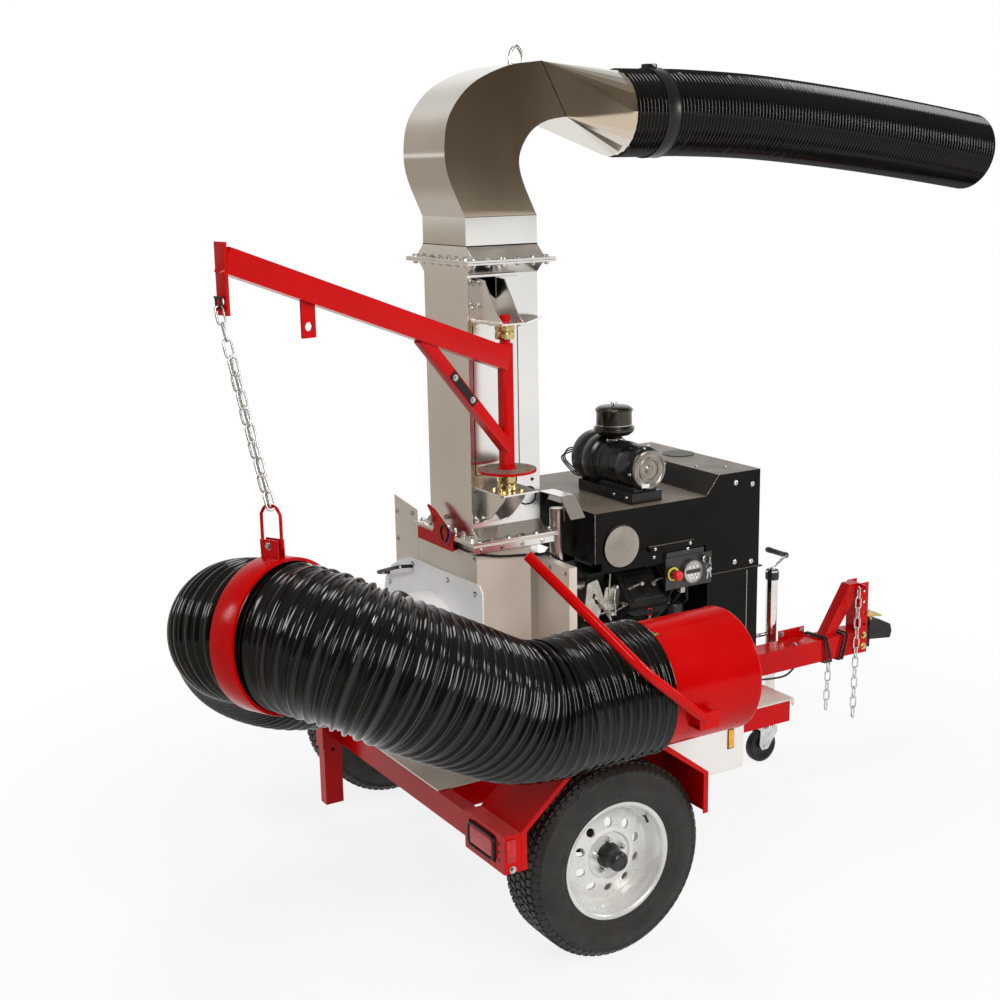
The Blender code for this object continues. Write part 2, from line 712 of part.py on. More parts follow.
def make_housing():
    outer = scroll_outline(SCROLL_R, 0.0, HOUSING_TOP)
    inner = scroll_outline(SCROLL_R - SHEET, SHEET, HOUSING_TOP + 0.05)
    hollow = plate(inner, HOUSING_REAR + SHEET, HOUSING_FRONT - SHEET, "X")
    rear_plate = plate([(-0.190, 0.500), (0.446, 0.500), (0.446, 1.372), (0.262, 1.345), (0.262, 1.285),
                        (-0.190, 1.275)], HOUSING_REAR - 0.004, HOUSING_REAR + 0.001, "X")
    flange = box(DUCT_CENTRE.x - FLANGE_X / 2, DUCT_CENTRE.x + FLANGE_X / 2, -FLANGE_Y / 2, FLANGE_Y / 2,
                 HOUSING_TOP - FLANGE_T, HOUSING_TOP)
    inlet = rod((HOUSING_REAR - 0.05, AXIS_Y, AXIS_Z), (HOUSING_REAR + 0.05, AXIS_Y, AXIS_Z), INLET_R)
    shaft = rod((HOUSING_FRONT - 0.05, AXIS_Y, AXIS_Z), (HOUSING_FRONT + 0.05, AXIS_Y, AXIS_Z), 0.030, sides=16)
    feet = []
    for y in (AXIS_Y - 0.24, AXIS_Y + 0.20):
        feet.append(box(HOUSING_REAR - 0.004, HOUSING_REAR + 0.040, y, y + 0.04, DECK_TOP + GAP, 0.560))
    for y in (AXIS_Y - 0.24, AXIS_Y + 0.20):
        feet.append(box(HOUSING_FRONT - 0.040, HOUSING_FRONT - 0.001, y, y + 0.04, DECK_TOP + GAP, 0.640))
    near = AXIS_Y - SCROLL_R
    ledge = box(HOUSING_REAR, HOUSING_FRONT, near - 0.004, near + 0.001, HOUSING_TOP - 0.030, HOUSING_TOP)
    node("blower_housing", "stainless", plate(outer, HOUSING_REAR, HOUSING_FRONT, "X"),
         add=[flange, rear_plate, ledge] + feet, cut=[hollow, inlet, shaft])


def make_bulkhead():
    x0, x1 = HOUSING_FRONT + GAP, HOUSING_FRONT + GAP + BULKHEAD_DEPTH
    wall = 0.004
    hollow = box(x0 + wall, x1 + 0.01, -BULKHEAD_HALF + wall, BULKHEAD_HALF - wall,
                 DECK_TOP + GAP + wall, BULKHEAD_TOP - wall)
    shaft = rod((x0 - 0.02, AXIS_Y, AXIS_Z), (x0 + 0.02, AXIS_Y, AXIS_Z), 0.030, sides=16)
    node("bulkhead", "stainless",
         box(x0, x1, -BULKHEAD_HALF, BULKHEAD_HALF, DECK_TOP + GAP, BULKHEAD_TOP), cut=[hollow, shaft])


def door_outline():
    return [(-0.235, 0.610), (0.545, 0.610), (0.555, 0.950), (0.535, 1.020), (0.480, 1.080), (0.400, 1.122),
            (0.310, 1.150), (-0.215, 1.155), (-0.235, 1.130)]


def make_inlet():
    back = DOOR_X - 0.006
    opening = rod((back - 0.2, AXIS_Y, AXIS_Z), (back + 0.05, AXIS_Y, AXIS_Z), INLET_R - 0.004)
    collar = rod((COLLAR_END + GAP, AXIS_Y, AXIS_Z), (back + 0.002, AXIS_Y, AXIS_Z), INLET_R)
    handle = tube([Vector((back + 0.003, 0.500, 1.045)), Vector((back - 0.045, 0.510, 1.050)),
                   Vector((back - 0.050, 0.440, 1.075)), Vector((back - 0.050, 0.300, 1.120)),
                   Vector((back + 0.003, 0.300, 1.115))], 0.006, 6)
    node("inlet_door", "white", plate(door_outline(), back, DOOR_X, "X"), add=[collar, handle], cut=[opening])


def make_impeller():
    make_pivot("impeller_axis", (0.0, AXIS_Y, AXIS_Z))
    centre = Vector((0.0, AXIS_Y, AXIS_Z))
    paddles = []
    for step in range(6):
        turn = Matrix.Rotation(math.tau * step / 6, 3, "X")
        mid = centre + turn @ Vector((0.020, 0.0, 0.150))
        paddles.append(block(mid, (0.180, 0.010, 2 * (IMPELLER_R - 0.151)), turn))
    hub = rod(centre + Vector((-0.070, 0, 0)), centre + Vector((0.122, 0, 0)), 0.050, sides=16)
    shaft = rod(centre + Vector((0.1, 0, 0)), centre + Vector((0.300, 0, 0)), 0.025, sides=16)
    node("impeller", "iron", rod(centre + Vector((0.110, 0, 0)), centre + Vector((0.122, 0, 0)), IMPELLER_R),
         add=[hub, shaft] + paddles, pivot="impeller_axis")


# Duct, flanges, boom brackets and bearings

def duct_outline(inset, low, high):
    half = DUCT_Y / 2 - inset
    wide = half + FLARE
    side = [(half, low + FLARE_HEIGHT), (half, high - FLARE_HEIGHT)]
    right = [(wide, low)] + side + [(wide, high)]
    return right + [(-a, b) for a, b in reversed(right)]


def make_duct():
    x0, x1 = DUCT_CENTRE.x - DUCT_X / 2, DUCT_CENTRE.x + DUCT_X / 2
    low, high = HOUSING_TOP + GAP, DUCT_HIGH
    inner = duct_outline(SHEET, low, high)
    inner[0] = (inner[0][0], low - 0.001)
    inner[-1] = (inner[-1][0], low - 0.001)
    inner[3] = (inner[3][0], high + 0.001)
    inner[4] = (inner[4][0], high + 0.001)
    flanges = []
    for z0 in (low, high - FLANGE_T):
        flanges.append(box(DUCT_CENTRE.x - FLANGE_X / 2, DUCT_CENTRE.x + FLANGE_X / 2, -FLANGE_Y / 2,
                           FLANGE_Y / 2, z0, z0 + FLANGE_T))
    node("discharge_duct", "stainless", plate(duct_outline(0.0, low, high), x0, x1, "X"), add=flanges,
         cut=[plate(inner, x0 + SHEET, x1 - SHEET, "X")])


def make_brackets():
    face = -DUCT_Y / 2 - GAP
    upper = [(-0.096, face), (0.172, face), (0.172, face - 0.050), (0.020, -0.345), (-0.080, -0.345), (-0.096, -0.300)]
    add = []
    for x in (-0.072, 0.010):
        add.append(plate([(face, 2.100), (-0.335, 2.100), (-0.300, 2.125), (-0.215, 2.240), (face, 2.246)],
                         x, x + 0.005, "X"))
    add.append(box(-0.096, 0.100, face - 0.005, face, 2.080, 2.246))
    bore = rod((POST.x, POST.y, 2.0), (POST.x, POST.y, 2.2), 0.0195, sides=12)
    node("boom_bracket_upper", "stainless", plate(upper, 2.094, 2.101, "Z"), add=add, cut=[bore])
    lower = [(-0.097, face), (0.060, face), (0.060, -0.345), (-0.090, -0.354), (-0.097, -0.345)]
    add = []
    for x in (-0.072, 0.010):
        add.append(plate([(face, 1.505), (-0.335, 1.505), (-0.320, 1.480), (-0.230, 1.400), (face, 1.370)],
                         x, x + 0.005, "X"))
    add.append(box(-0.097, 0.060, face - 0.005, face, 1.370, 1.508))
    bore = rod((POST.x, POST.y, 1.4), (POST.x, POST.y, 1.6), 0.0195, sides=12)
    node("boom_bracket_lower", "stainless", plate(lower, 1.502, 1.509, "Z"), add=add, cut=[bore])
    for name, z0, z1 in (("upper", 2.0425, 2.094 - GAP), ("lower", 1.509 + GAP, 1.565)):
        profile = [(0.0193, z0), (0.034, z0), (0.036, z0 + 0.010), (0.036, z1), (0.0193, z1)]
        base = turned(profile, (POST.x, POST.y, 0.0), "Z", 14)
        node(f"boom_bearing_{name}", "yellow_zinc", base, smooth=True)


# Elbow, discharge hose, clamp and hoop

def elbow_section(low_x, low_z, high_x, high_z, inset):
    half = DUCT_Y / 2 - inset
    low = Vector((low_x, 0, low_z))
    high = Vector((high_x, 0, high_z))
    pull = (high - low).normalized() * inset
    corners = [low + pull, high - pull]
    return [Vector((corners[0].x, -half, corners[0].z)), Vector((corners[1].x, -half, corners[1].z)),
            Vector((corners[1].x, half, corners[1].z)), Vector((corners[0].x, half, corners[0].z))]


def elbow_arcs():
    """Inner and outer curves of the elbow's cheeks, sampled alike."""
    outer = [Vector((x, 0, z)) for x, z in ((-0.105, ELBOW_BASE), (-0.168, 2.600), (-0.174, 2.713), (-0.145, 2.806),
                                            (-0.057, 2.898), (0.087, 2.958), (0.223, 2.975))]
    inner = [Vector((x, 0, z)) for x, z in ((0.185, ELBOW_BASE), (0.136, 2.560), (0.119, 2.628), (0.131, 2.682),
                                            (0.173, 2.739), (0.235, 2.773), (0.320, 2.788))]
    return even(spline(outer, 8), 8), even(spline(inner, 8), 8)


def elbow_shell(inset):
    """Closed solid of the elbow: square below, arched cheeks, square to round at the end."""
    mesh = bmesh.new()
    outer, inner = elbow_arcs()
    low = ELBOW_LOW - (0.001 if inset else 0)
    rings = [square_ring(mesh, elbow_section(-0.105, low, 0.185, low, inset))]
    for out, into in zip(outer, inner):
        rings.append(square_ring(mesh, elbow_section(out.x, out.z, into.x, into.z, inset)))
    end = OUTLET_X + SPIGOT + (0.001 if inset else 0)
    for x in (OUTLET_X, end):
        rings.append(round_ring(mesh, x, OUTLET_R - inset))
    for a, b in zip(rings, rings[1:]):
        bridge(mesh, a, b)
    mesh.faces.new(reversed(rings[0]))
    mesh.faces.new(rings[-1])
    bmesh.ops.recalc_face_normals(mesh, faces=mesh.faces)
    return mesh


def square_ring(mesh, corners):
    ring = []
    for k in range(4):
        for step in range(STEPS):
            ring.append(mesh.verts.new(corners[k].lerp(corners[(k + 1) % 4], step / STEPS)))
    return ring


def round_ring(mesh, x, radius):
    """Circle whose points match the square's corners: low near side first, then outer near."""
    ring = []
    for k in range(4 * STEPS):
        angle = math.radians(225) - math.tau * k / (4 * STEPS)
        ring.append(mesh.verts.new((x, radius * math.cos(angle), OUTLET_Z - radius * math.sin(angle))))
    return ring


def make_elbow():
    x0, x1 = DUCT_CENTRE.x - DUCT_X / 2, DUCT_CENTRE.x + DUCT_X / 2
    low = DUCT_HIGH + GAP
    wide = DUCT_Y / 2 + FLARE
    half = DUCT_Y / 2
    flange = box(DUCT_CENTRE.x - FLANGE_X / 2, DUCT_CENTRE.x + FLANGE_X / 2, -FLANGE_Y / 2, FLANGE_Y / 2,
                 low, low + FLANGE_T)
    skirt = plate([(-wide, low), (wide, low), (half, low + FLARE_HEIGHT), (-half, low + FLARE_HEIGHT)], x0, x1, "X")
    hollow = plate([(SHEET - wide, low - 0.01), (wide - SHEET, low - 0.01), (half - SHEET, low + FLARE_HEIGHT),
                    (SHEET - half, low + FLARE_HEIGHT)], x0 + SHEET, x1 - SHEET, "X")
    hoop = tube(spline([Vector((0.178, 0, 2.955)), Vector((0.180, 0, 3.005)), Vector((0.205, 0, 3.034)),
                        Vector((0.230, 0, 3.005)), Vector((0.232, 0, 2.960))], 2), 0.006, 4)
    node("elbow", "stainless", elbow_shell(0.0), add=[flange, skirt, hoop], cut=[elbow_shell(SHEET), hollow])


# Hoses and what is clamped to them

def make_discharge_hose():
    ends = ((1, 0, 0), (0.99, 0, -0.14))
    hose = ribbed_hose(spline(DISCHARGE_PATH, 8, ends), DISCHARGE_R, 0.006, 27, 0.004, 8)
    node("discharge_hose", "rubber", hose, smooth=True)
    inner = DISCHARGE_R + GAP
    outer = inner + 0.004
    clamp = turned([(inner, 0.0), (outer, 0.0), (outer, 0.060), (inner, 0.060)], (CLAMP_X, 0, OUTLET_Z), "X",
                   HOSE_SIDES)
    lug = box(CLAMP_X + 0.005, CLAMP_X + 0.055, -0.018, 0.018, OUTLET_Z + DISCHARGE_R + 0.002,
              OUTLET_Z + DISCHARGE_R + 0.018)
    node("hose_clamp", "black", clamp, add=[lug], smooth=True)


def make_intake_hose():
    ends = ((-1, 0, 0), (1, 0, 0))
    route = spline(HOSE_PATH, 8, ends)
    hose = ribbed_hose(route, HOSE_R, HOSE_RIB, 36, 0.005, 20)
    node("intake_hose", "rubber", hose, smooth=True)
    return even(route, 401)


def hose_frame(points, share):
    """Place, direction and the upward and sideways vectors at a share of the hose's length."""
    index = round(share * (len(points) - 1))
    along = (points[index + 1] - points[index - 1]).normalized()
    side = along.cross(Vector((0, 0, 1))).normalized()
    return points[index], along, side, side.cross(along)


def make_band(points):
    """Split ring round the hose with two lug plates on top and the link that the chain holds."""
    place, along, side, over = hose_frame(points, BAND_AT)
    inner = (HOSE_R + BAND_ROOM) / math.cos(math.pi / 24)
    outer = inner + 0.004
    mesh = bmesh.new()
    rings = []
    for radius, shift in ((inner, -0.5), (outer, -0.5), (outer, 0.5), (inner, 0.5)):
        rings.append(ring_on(mesh, (place, along, side, over), radius, 24, shift * BAND_LENGTH))
    for k in range(4):
        bridge(mesh, rings[k], rings[(k + 1) % 4])
    bmesh.ops.recalc_face_normals(mesh, faces=mesh.faces)
    turn = Matrix((along, side, over)).transposed()
    lugs = []
    for hand in (-1, 1):
        middle = place + over * (outer + 0.026) + side * 0.012 * hand
        lugs.append(block(middle, (BAND_LENGTH * 0.8, 0.005, 0.060), turn))
    bolt = place + over * (outer + 0.038)
    lugs.append(rod(bolt - side * 0.024, bolt + side * 0.024, 0.006, sides=8))
    node("hose_band", "red", mesh, add=lugs, pivot="boom", smooth=True)
    return along, bolt


def stadium(centre, long_way, wide_way, length, width):
    """Six points of a flat loop: two sides and a point at each end."""
    half = width / 2
    reach = length / 2
    corner = reach - half * 0.55
    flat = [(reach, 0.0), (corner, half), (-corner, half), (-reach, 0.0), (-corner, -half), (corner, -half)]
    return [centre + long_way * a + wide_way * b for a, b in flat]


def chain_links(points):
    """Links of round bar along the points, each quarter-turned and bearing on the next."""
    links = []
    for index, (start, end) in enumerate(zip(points, points[1:])):
        along = (end - start).normalized()
        side = along.cross(Vector((-0.3, 1, 0.2))).normalized()
        if index % 2 == 0:
            side = along.cross(side)
        length = (end - start).length + 2 * WIRE * LINK_BITE
        links.append(closed_tube(bmesh.new(), stadium((start + end) / 2, along, side, length, LINK_WIDTH), WIRE, 3))
    return links


def hang(start, end, sag, count):
    """Points along a hanging run from start to end, at even distances."""
    fine = []
    for step in range(41):
        t = step / 40
        fine.append(Vector(start).lerp(Vector(end), t) - Vector((0, 0, sag * 4 * t * (1 - t))))
    return even(fine, count)


def make_boom(points):
    make_pivot("boom", (POST.x, POST.y, 0.0))
    along, bolt = make_band(points)
    root = Vector((POST.x, POST.y, BOOM_ROOT_Z))
    out = BOOM_TIP - root
    flat = Vector((out.x, out.y, 0)).normalized()
    cross = Vector((0, 0, 1)).cross(flat)
    tip_turn = Matrix((flat, cross, Vector((0, 0, 1)))).transposed()
    add = post_pieces()
    add.append(bar(root, BOOM_TIP, BOOM_WIDTH, BOOM_HEIGHT))
    brace_high = root + out * 0.335 - Vector((0, 0, 0.030))
    add.append(bar((POST.x, POST.y, 1.660), brace_high, POST_SIZE, POST_SIZE))
    plate_mid = BOOM_TIP + flat * 0.004 + Vector((0, 0, -0.056))
    add.append(block(plate_mid, (0.010, 0.056, 0.215), tip_turn))
    lug_mid = root + out * 0.735 + Vector((0, 0, -0.085))
    add.append(block(lug_mid, (0.050, 0.010, 0.130), tip_turn))
    eye = plate_mid + Vector((0, 0, -0.066))
    pin = eye - Vector((0, 0, 0.022))
    add.append(rod(pin, pin + flat * 0.028, 0.005, sides=8))
    low = lug_mid - Vector((0, 0, 0.030))
    cut = [rod(eye - flat * 0.03, eye + flat * 0.03, 0.013, sides=8),
           rod(low - cross * 0.05, low + cross * 0.05, 0.015, sides=8)]
    for step in range(6):
        angle = math.tau * step / 6
        x, y = POST.x + 0.083 * math.cos(angle), POST.y + 0.083 * math.sin(angle)
        cut.append(rod((x, y, 1.55), (x, y, 1.60), 0.0085, sides=6))
    half = POST_SIZE / 2
    node("boom_frame", "red", box(POST.x - half, POST.x + half, POST.y - half, POST.y + half, POST_LOW, POST_HIGH),
         add=add, cut=cut, pivot="boom")
    link_top = make_band_link(along, bolt)
    start = pin + flat * 0.018 + Vector((0, 0, 0.0068))
    links = chain_links(hang(start, link_top, 0.015, 13))
    node("boom_chain", "zinc", links[0], add=links[1:], pivot="boom")


def post_pieces():
    """Journals at both ends of the post and the index disc with its boss."""
    centre = (POST.x, POST.y)
    spans = ((1.512, POST_LOW + 0.01, 0.0185, 14), (POST_HIGH - 0.01, 2.125, 0.0185, 14),
             (1.578, 1.587, DISC_R, 24), (1.575, POST_LOW + 0.01, 0.030, 14))
    return [rod((*centre, low), (*centre, high), radius, sides=sides) for low, high, radius, sides in spans]


def make_band_link(along, bolt):
    """Bent red rod that hangs over the band's bolt; returns where the chain takes hold."""
    foot = along * 0.039
    head = along * 0.018
    low = bolt + Vector((0, 0, 0.032))
    mid = low + Vector((0, 0, 0.060))
    top = low + Vector((0, 0, 0.085))
    node("band_link", "red", tube([low + foot, mid + foot, top + head, top - head, mid - foot, low - foot], 0.005, 6),
         pivot="boom")
    return top - Vector((0, 0, 0.006))


def make_nozzle():
    x0 = HOSE_PATH[-1][0] + GAP
    y, z = HOSE_PATH[-1][1], HOSE_PATH[-1][2]
    wall = 0.005
    profile = [(NOZZLE_R, 0.0), (NOZZLE_R, NOZZLE_LENGTH), (NOZZLE_R - wall, NOZZLE_LENGTH), (NOZZLE_R - wall, 0.0)]
    node("nozzle", "red", turned(profile, (x0, y, z), "X", SEG), pivot="boom", smooth=True)
    low, bend, grip = (Vector(point) for point in HANDLE_PATH)
    bent = [low, bend.lerp(low, 0.08), bend, bend.lerp(grip, 0.06), grip]
    pad = box(low.x - 0.030, low.x + 0.050, low.y - 0.004, y - NOZZLE_R + 0.030, 0.880, 0.935)
    clear = NOZZLE_R + GAP
    barrel = turned_solid([(0.0, -0.2), (clear, -0.2), (clear, 0.2), (0.0, 0.2)], Vector((low.x, y, z)), SEG, "X")
    node("nozzle_handle", "red", tube(bent, HANDLE_R, 10), add=[pad], cut=[barrel], pivot="boom", smooth=True)


# Engine, enclosure, exhaust and air cleaner

def make_engine():
    low = TONGUE_TOP + GAP
    shaft_end = 0.300 + GAP
    cover = ENGINE_REAR - GAP
    add = [box(0.400, 0.745, -0.150, 0.150, 0.690, 0.900),
           rod((shaft_end, AXIS_Y, AXIS_Z), (0.410, AXIS_Y, AXIS_Z), 0.040, sides=16),
           box(0.480, 0.640, -0.060, 0.060, 0.890, 1.140),
           box(cover + GAP, 0.440, -0.200, 0.0, 1.020, 1.120),
           box(0.405, 0.440, -0.120, 0.0, 0.890, 1.030),
           box(0.660, 0.760, -0.290, -0.130, 0.840, 0.875),
           rod((0.715, -0.270, 0.860), (0.715, -0.270, 0.965), 0.036, sides=12)]
    for side in (-1, 1):
        add.append(bar((0.560, side * 0.080, 0.870), (0.560, side * 0.285, 1.060), 0.190, 0.150, (0, side, 1)))
    bracket = [(0.275, 0.980), (0.335, 0.960), (0.365, 1.050), (0.335, 1.130), (0.290, 1.115)]
    add.append(plate(bracket, -0.300, -0.296, "Y"))
    add.append(bar((0.340, -0.297, 1.000), (0.430, -0.140, 0.880), 0.020, 0.008))
    node("engine_block", "iron", box(ENGINE_REAR, ENGINE_FRONT, -0.170, 0.170, low, 0.700), add=add)


def make_cowl():
    side = [(COWL_REAR, COWL_LOW), (COWL_STEP, COWL_LOW), (COWL_STEP, TOWER_LOW), (TOWER_FRONT, TOWER_LOW),
            (TOWER_FRONT, TOWER_TOP), (TOWER_TOP_REAR, TOWER_TOP), (COWL_STEP, COWL_TOP + 0.003),
            (COWL_STEP, COWL_TOP), (COWL_REAR, COWL_TOP)]
    inner = [(COWL_REAR + SHEET, COWL_LOW - 0.01), (COWL_STEP + SHEET, COWL_LOW - 0.01),
             (COWL_STEP + SHEET, TOWER_LOW - 0.02), (TOWER_FRONT - SHEET, TOWER_LOW - 0.02),
             (TOWER_FRONT - SHEET, TOWER_TOP - SHEET), (TOWER_TOP_REAR + 0.002, TOWER_TOP - SHEET),
             (COWL_STEP + SHEET, COWL_TOP - SHEET), (COWL_REAR + SHEET, COWL_TOP - SHEET)]
    lip = box(PANEL_FRONT + GAP, TOWER_FRONT + 0.012, -COWL_HALF - 0.010, COWL_HALF + 0.010, TOWER_LOW - 0.004,
              TOWER_LOW + 0.001)
    skirt = box(0.325, 0.600, -COWL_HALF, SHEET - COWL_HALF, SKIRT_LOW, COWL_LOW + 0.002)
    rail = box(0.532, 0.741, -COWL_HALF - 0.014, -COWL_HALF + 0.001, 1.214, 1.234)
    vent = rod((VENT.x, VENT.y, TOWER_TOP - 0.001), (VENT.x, VENT.y, TOWER_TOP + 0.002), VENT_R, sides=20)
    node("engine_cowl", "black", plate(side, -COWL_HALF, COWL_HALF, "Y"), add=[lip],
         cut=[plate(inner, SHEET - COWL_HALF, COWL_HALF - SHEET, "Y")], join=[skirt, rail, vent])
    face = -COWL_HALF - GAP
    node("cowl_grille", "aluminium", rod((GRILLE.x, face, GRILLE.z), (GRILLE.x, face - 0.004, GRILLE.z), GRILLE_R))
    base = box(COWL_STEP + 0.010, TOWER_FRONT - 0.002, 0.001 - COWL_HALF, COWL_HALF - 0.001, TOWER_BASE_LOW,
               TOWER_LOW - 0.004 - GAP)
    legs = [box(COWL_STEP + 0.040, TOWER_FRONT - 0.040, y - 0.040, y + 0.040, DECK_TOP + GAP,
                TOWER_BASE_LOW + 0.001) for y in (-0.260, 0.260)]
    hollow = box(COWL_STEP + 0.010 + SHEET, TOWER_FRONT - 0.002 - SHEET, SHEET - COWL_HALF, COWL_HALF - SHEET,
                 TOWER_BASE_LOW + SHEET, TOWER_LOW)
    node("enclosure_base", "black", base, add=legs, cut=[hollow])


def make_exhaust():
    x, y = PIPE.x, PIPE.y
    bend = [(x, 1.385), (x, 1.200), (x, 1.150), (x + 0.010, 1.115), (x + 0.040, 1.085), (x + 0.080, 1.075),
            (ENGINE_REAR - GAP, 1.075)]
    node("exhaust_pipe", "zinc", tube([Vector((a, y, b)) for a, b in bend], PIPE_R, 12), smooth=True)
    roof = [(-0.025, 1.368), (-0.095, 1.438), (-0.235, 1.442), (-0.305, 1.370), (-0.307, 1.372),
            (-0.236, 1.445), (-0.094, 1.441), (-0.023, 1.370)]
    post = box(x + 0.030, COWL_REAR - GAP, y - 0.012, y + 0.012, 1.330, 1.440)
    node("exhaust_shield", "stainless", plate(roof, x - 0.030, x + 0.033, "X"), add=[post])


def make_air_cleaner():
    x, y, z = CLEANER
    rings = [(0.0, 0.0), (0.066, 0.0), (0.075, 0.010), (0.084, 0.030), (0.085, 0.245), (0.100, 0.255),
             (0.100, 0.380), (0.060, 0.405), (0.032, 0.410), (0.032, 0.450), (0.0, 0.450)]
    foot = box(x - 0.070, x + 0.070, y + 0.020, 0.040, COWL_TOP + GAP, z - 0.066)
    neck = rod((x, PRECLEANER_Y, z + 0.070), (x, PRECLEANER_Y, PRECLEANER_LOW - GAP), 0.034, sides=14)
    node("air_cleaner", "black", turned_solid(rings, Vector((x, y, z)), 14), add=[foot, neck], smooth=True)
    bowl = [(0.0, 0.0), (0.060, 0.0), (0.077, 0.016), (0.077, 0.034), (0.068, 0.042), (0.068, 0.096),
            (0.056, 0.108), (0.010, 0.112), (0.010, 0.128), (0.0, 0.128)]
    node("precleaner", "black", turned_solid(bowl, Vector((x, PRECLEANER_Y, PRECLEANER_LOW)), 14, "Z"), smooth=True)


# Control panel with its button and key

def make_panel():
    front = PANEL_FACE
    panel = box(0.612, PANEL_FRONT, front, -COWL_HALF - GAP, 1.052, 1.176)
    body = box(0.620, 0.796, -COWL_HALF - 0.001, -0.325, 1.060, COWL_LOW - 0.004)
    gauge = rod((GAUGE.x, front - 0.014, GAUGE.z), (GAUGE.x, front + 0.002, GAUGE.z), 0.045, sides=16)
    collar = rod((ESTOP.x, front - 0.008, ESTOP.z), (ESTOP.x, front + 0.002, ESTOP.z), 0.024, sides=12)
    barrel = rod((KEY.x, front - 0.008, KEY.z), (KEY.x, front + 0.002, KEY.z), 0.013, sides=12)
    stem_hole = rod((ESTOP.x, front - 0.05, ESTOP.z), (ESTOP.x, -0.335, ESTOP.z), STEM_R + 0.0006, sides=12)
    key_hole = rod((KEY.x, front - 0.05, KEY.z), (KEY.x, -0.345, KEY.z), KEY_SHANK_R + 0.0005, sides=10)
    node("control_panel", "black", panel, add=[body, gauge, collar, barrel], cut=[stem_hole, key_hole])
    make_pivot("estop_press", (ESTOP.x, front, ESTOP.z))
    head = rod((ESTOP.x, front - 0.054, ESTOP.z), (ESTOP.x, front - 0.030, ESTOP.z), 0.020, sides=16)
    stem = rod((ESTOP.x, front - 0.032, ESTOP.z), (ESTOP.x, -0.345, ESTOP.z), STEM_R, sides=12)
    node("estop_button", "lens_red", head, add=[stem], pivot="estop_press", smooth=True)
    make_pivot("key_turn", (KEY.x, front, KEY.z))
    bow = box(KEY.x - 0.002, KEY.x + 0.002, front - 0.036, front - 0.012, KEY.z - 0.014, KEY.z + 0.014)
    shank = rod((KEY.x, front - 0.014, KEY.z), (KEY.x, -0.347, KEY.z), KEY_SHANK_R, sides=10)
    node("ignition_key", "zinc", bow, add=[shank], pivot="key_turn")


# Side tank, drop leg and switch bracket

def make_side_pieces():
    node("fuel_tank", "white", box(0.380, 0.835, TANK_NEAR, -DECK_HALF - GAP, 0.366, 0.640),
         add=[rod((0.480, -0.450, 0.635), (0.480, -0.450, 0.668), 0.038, sides=16)])
    x0, x1 = LEG.x - LEG_X / 2, LEG.x + LEG_X / 2
    y0, y1 = LEG.y - LEG_Y / 2, LEG.y + LEG_Y / 2
    make_pivot("drop_leg_slide", (LEG.x, LEG.y, 0.435))
    hole = rod((LEG.x, y0 - 0.01, LEG_HOLE_Z), (LEG.x, y1 + 0.01, LEG_HOLE_Z), 0.0085, sides=10)
    node("drop_leg", "red", box(x0, x1, y0, y1, LEG_LOW, LEG_HIGH), cut=[hole], pivot="drop_leg_slide")
    outline = [(-0.080, 1.257), (0.190, 1.257), (0.190, 1.303), (0.075, 1.303), (0.060, 1.330), (0.085, 1.375),
               (0.110, 1.396), (0.102, 1.404), (0.050, 1.392), (-0.080, 1.325)]
    foot = box(SWITCH_X + 0.002, HOUSING_REAR - 0.004 - GAP, -0.060, 0.170, 1.257, 1.263)
    node("switch_bracket", "red", plate(outline, SWITCH_X, SWITCH_X + 0.004, "X"), add=[foot])


# Jack, crank and caster

def make_jack():
    x, y = JACK.x, JACK.y
    make_pivot("jack_fold", (x, y, JACK_PIVOT_Z))
    outer = rod((x, y, JACK_TUBE_LOW), (x, y, JACK_TUBE_TOP), JACK_TUBE_R, sides=16)
    cap = rod((x, y, JACK_TUBE_TOP - 0.014), (x, y, JACK_TUBE_TOP + 0.016), 0.030, sides=16)
    swivel = rod((x, TONGUE_SIZE / 2 + GAP, JACK_PIVOT_Z), (x, y - 0.010, JACK_PIVOT_Z), 0.036, sides=14)
    pin = rod((x - 0.085, y, 0.590), (x, y, 0.590), 0.0075, sides=6)
    bore = rod((x, y, JACK_TUBE_LOW - 0.01), (x, y, JACK_TUBE_TOP - 0.010), JACK_BORE_R, sides=16)
    eye = rod((x, y, JACK_TUBE_TOP - 0.02), (x, y, JACK_TUBE_TOP + 0.03), SCREW_R + 0.0008, sides=10)
    node("jack_tube", "zinc", outer, add=[cap, swivel, pin], cut=[bore, eye], pivot="jack_fold", smooth=True)
    make_pivot("jack_slide", (x, y, 0.300), "jack_fold")
    room = rod((x, y, LEG_FOOT + 0.006), (x, y, 0.610), 0.0150, sides=12)
    node("jack_leg", "zinc", rod((x, y, LEG_FOOT), (x, y, 0.600), JACK_LEG_R, sides=16), cut=[room],
         pivot="jack_slide", smooth=True)
    make_pivot("jack_turn", (x, y, JACK_TUBE_TOP), "jack_fold")
    head = JACK_TUBE_TOP + 0.016 + GAP
    arm_end = Vector((x + 0.079, y, 0.931))
    collar = rod((x, y, head), (x, y, head + 0.010), 0.016, sides=12)
    arm = bar((x, y, head + 0.006), arm_end, 0.010, 0.010)
    grip = rod(arm_end - Vector((0, 0.008, 0)), arm_end + Vector((0, 0.127, 0.004)), 0.013, sides=10)
    node("jack_crank", "iron", rod((x, y, 0.460), (x, y, head + 0.005), SCREW_R, sides=10),
         add=[collar, arm, grip], pivot="jack_turn", smooth=True)
    make_caster(x, y)


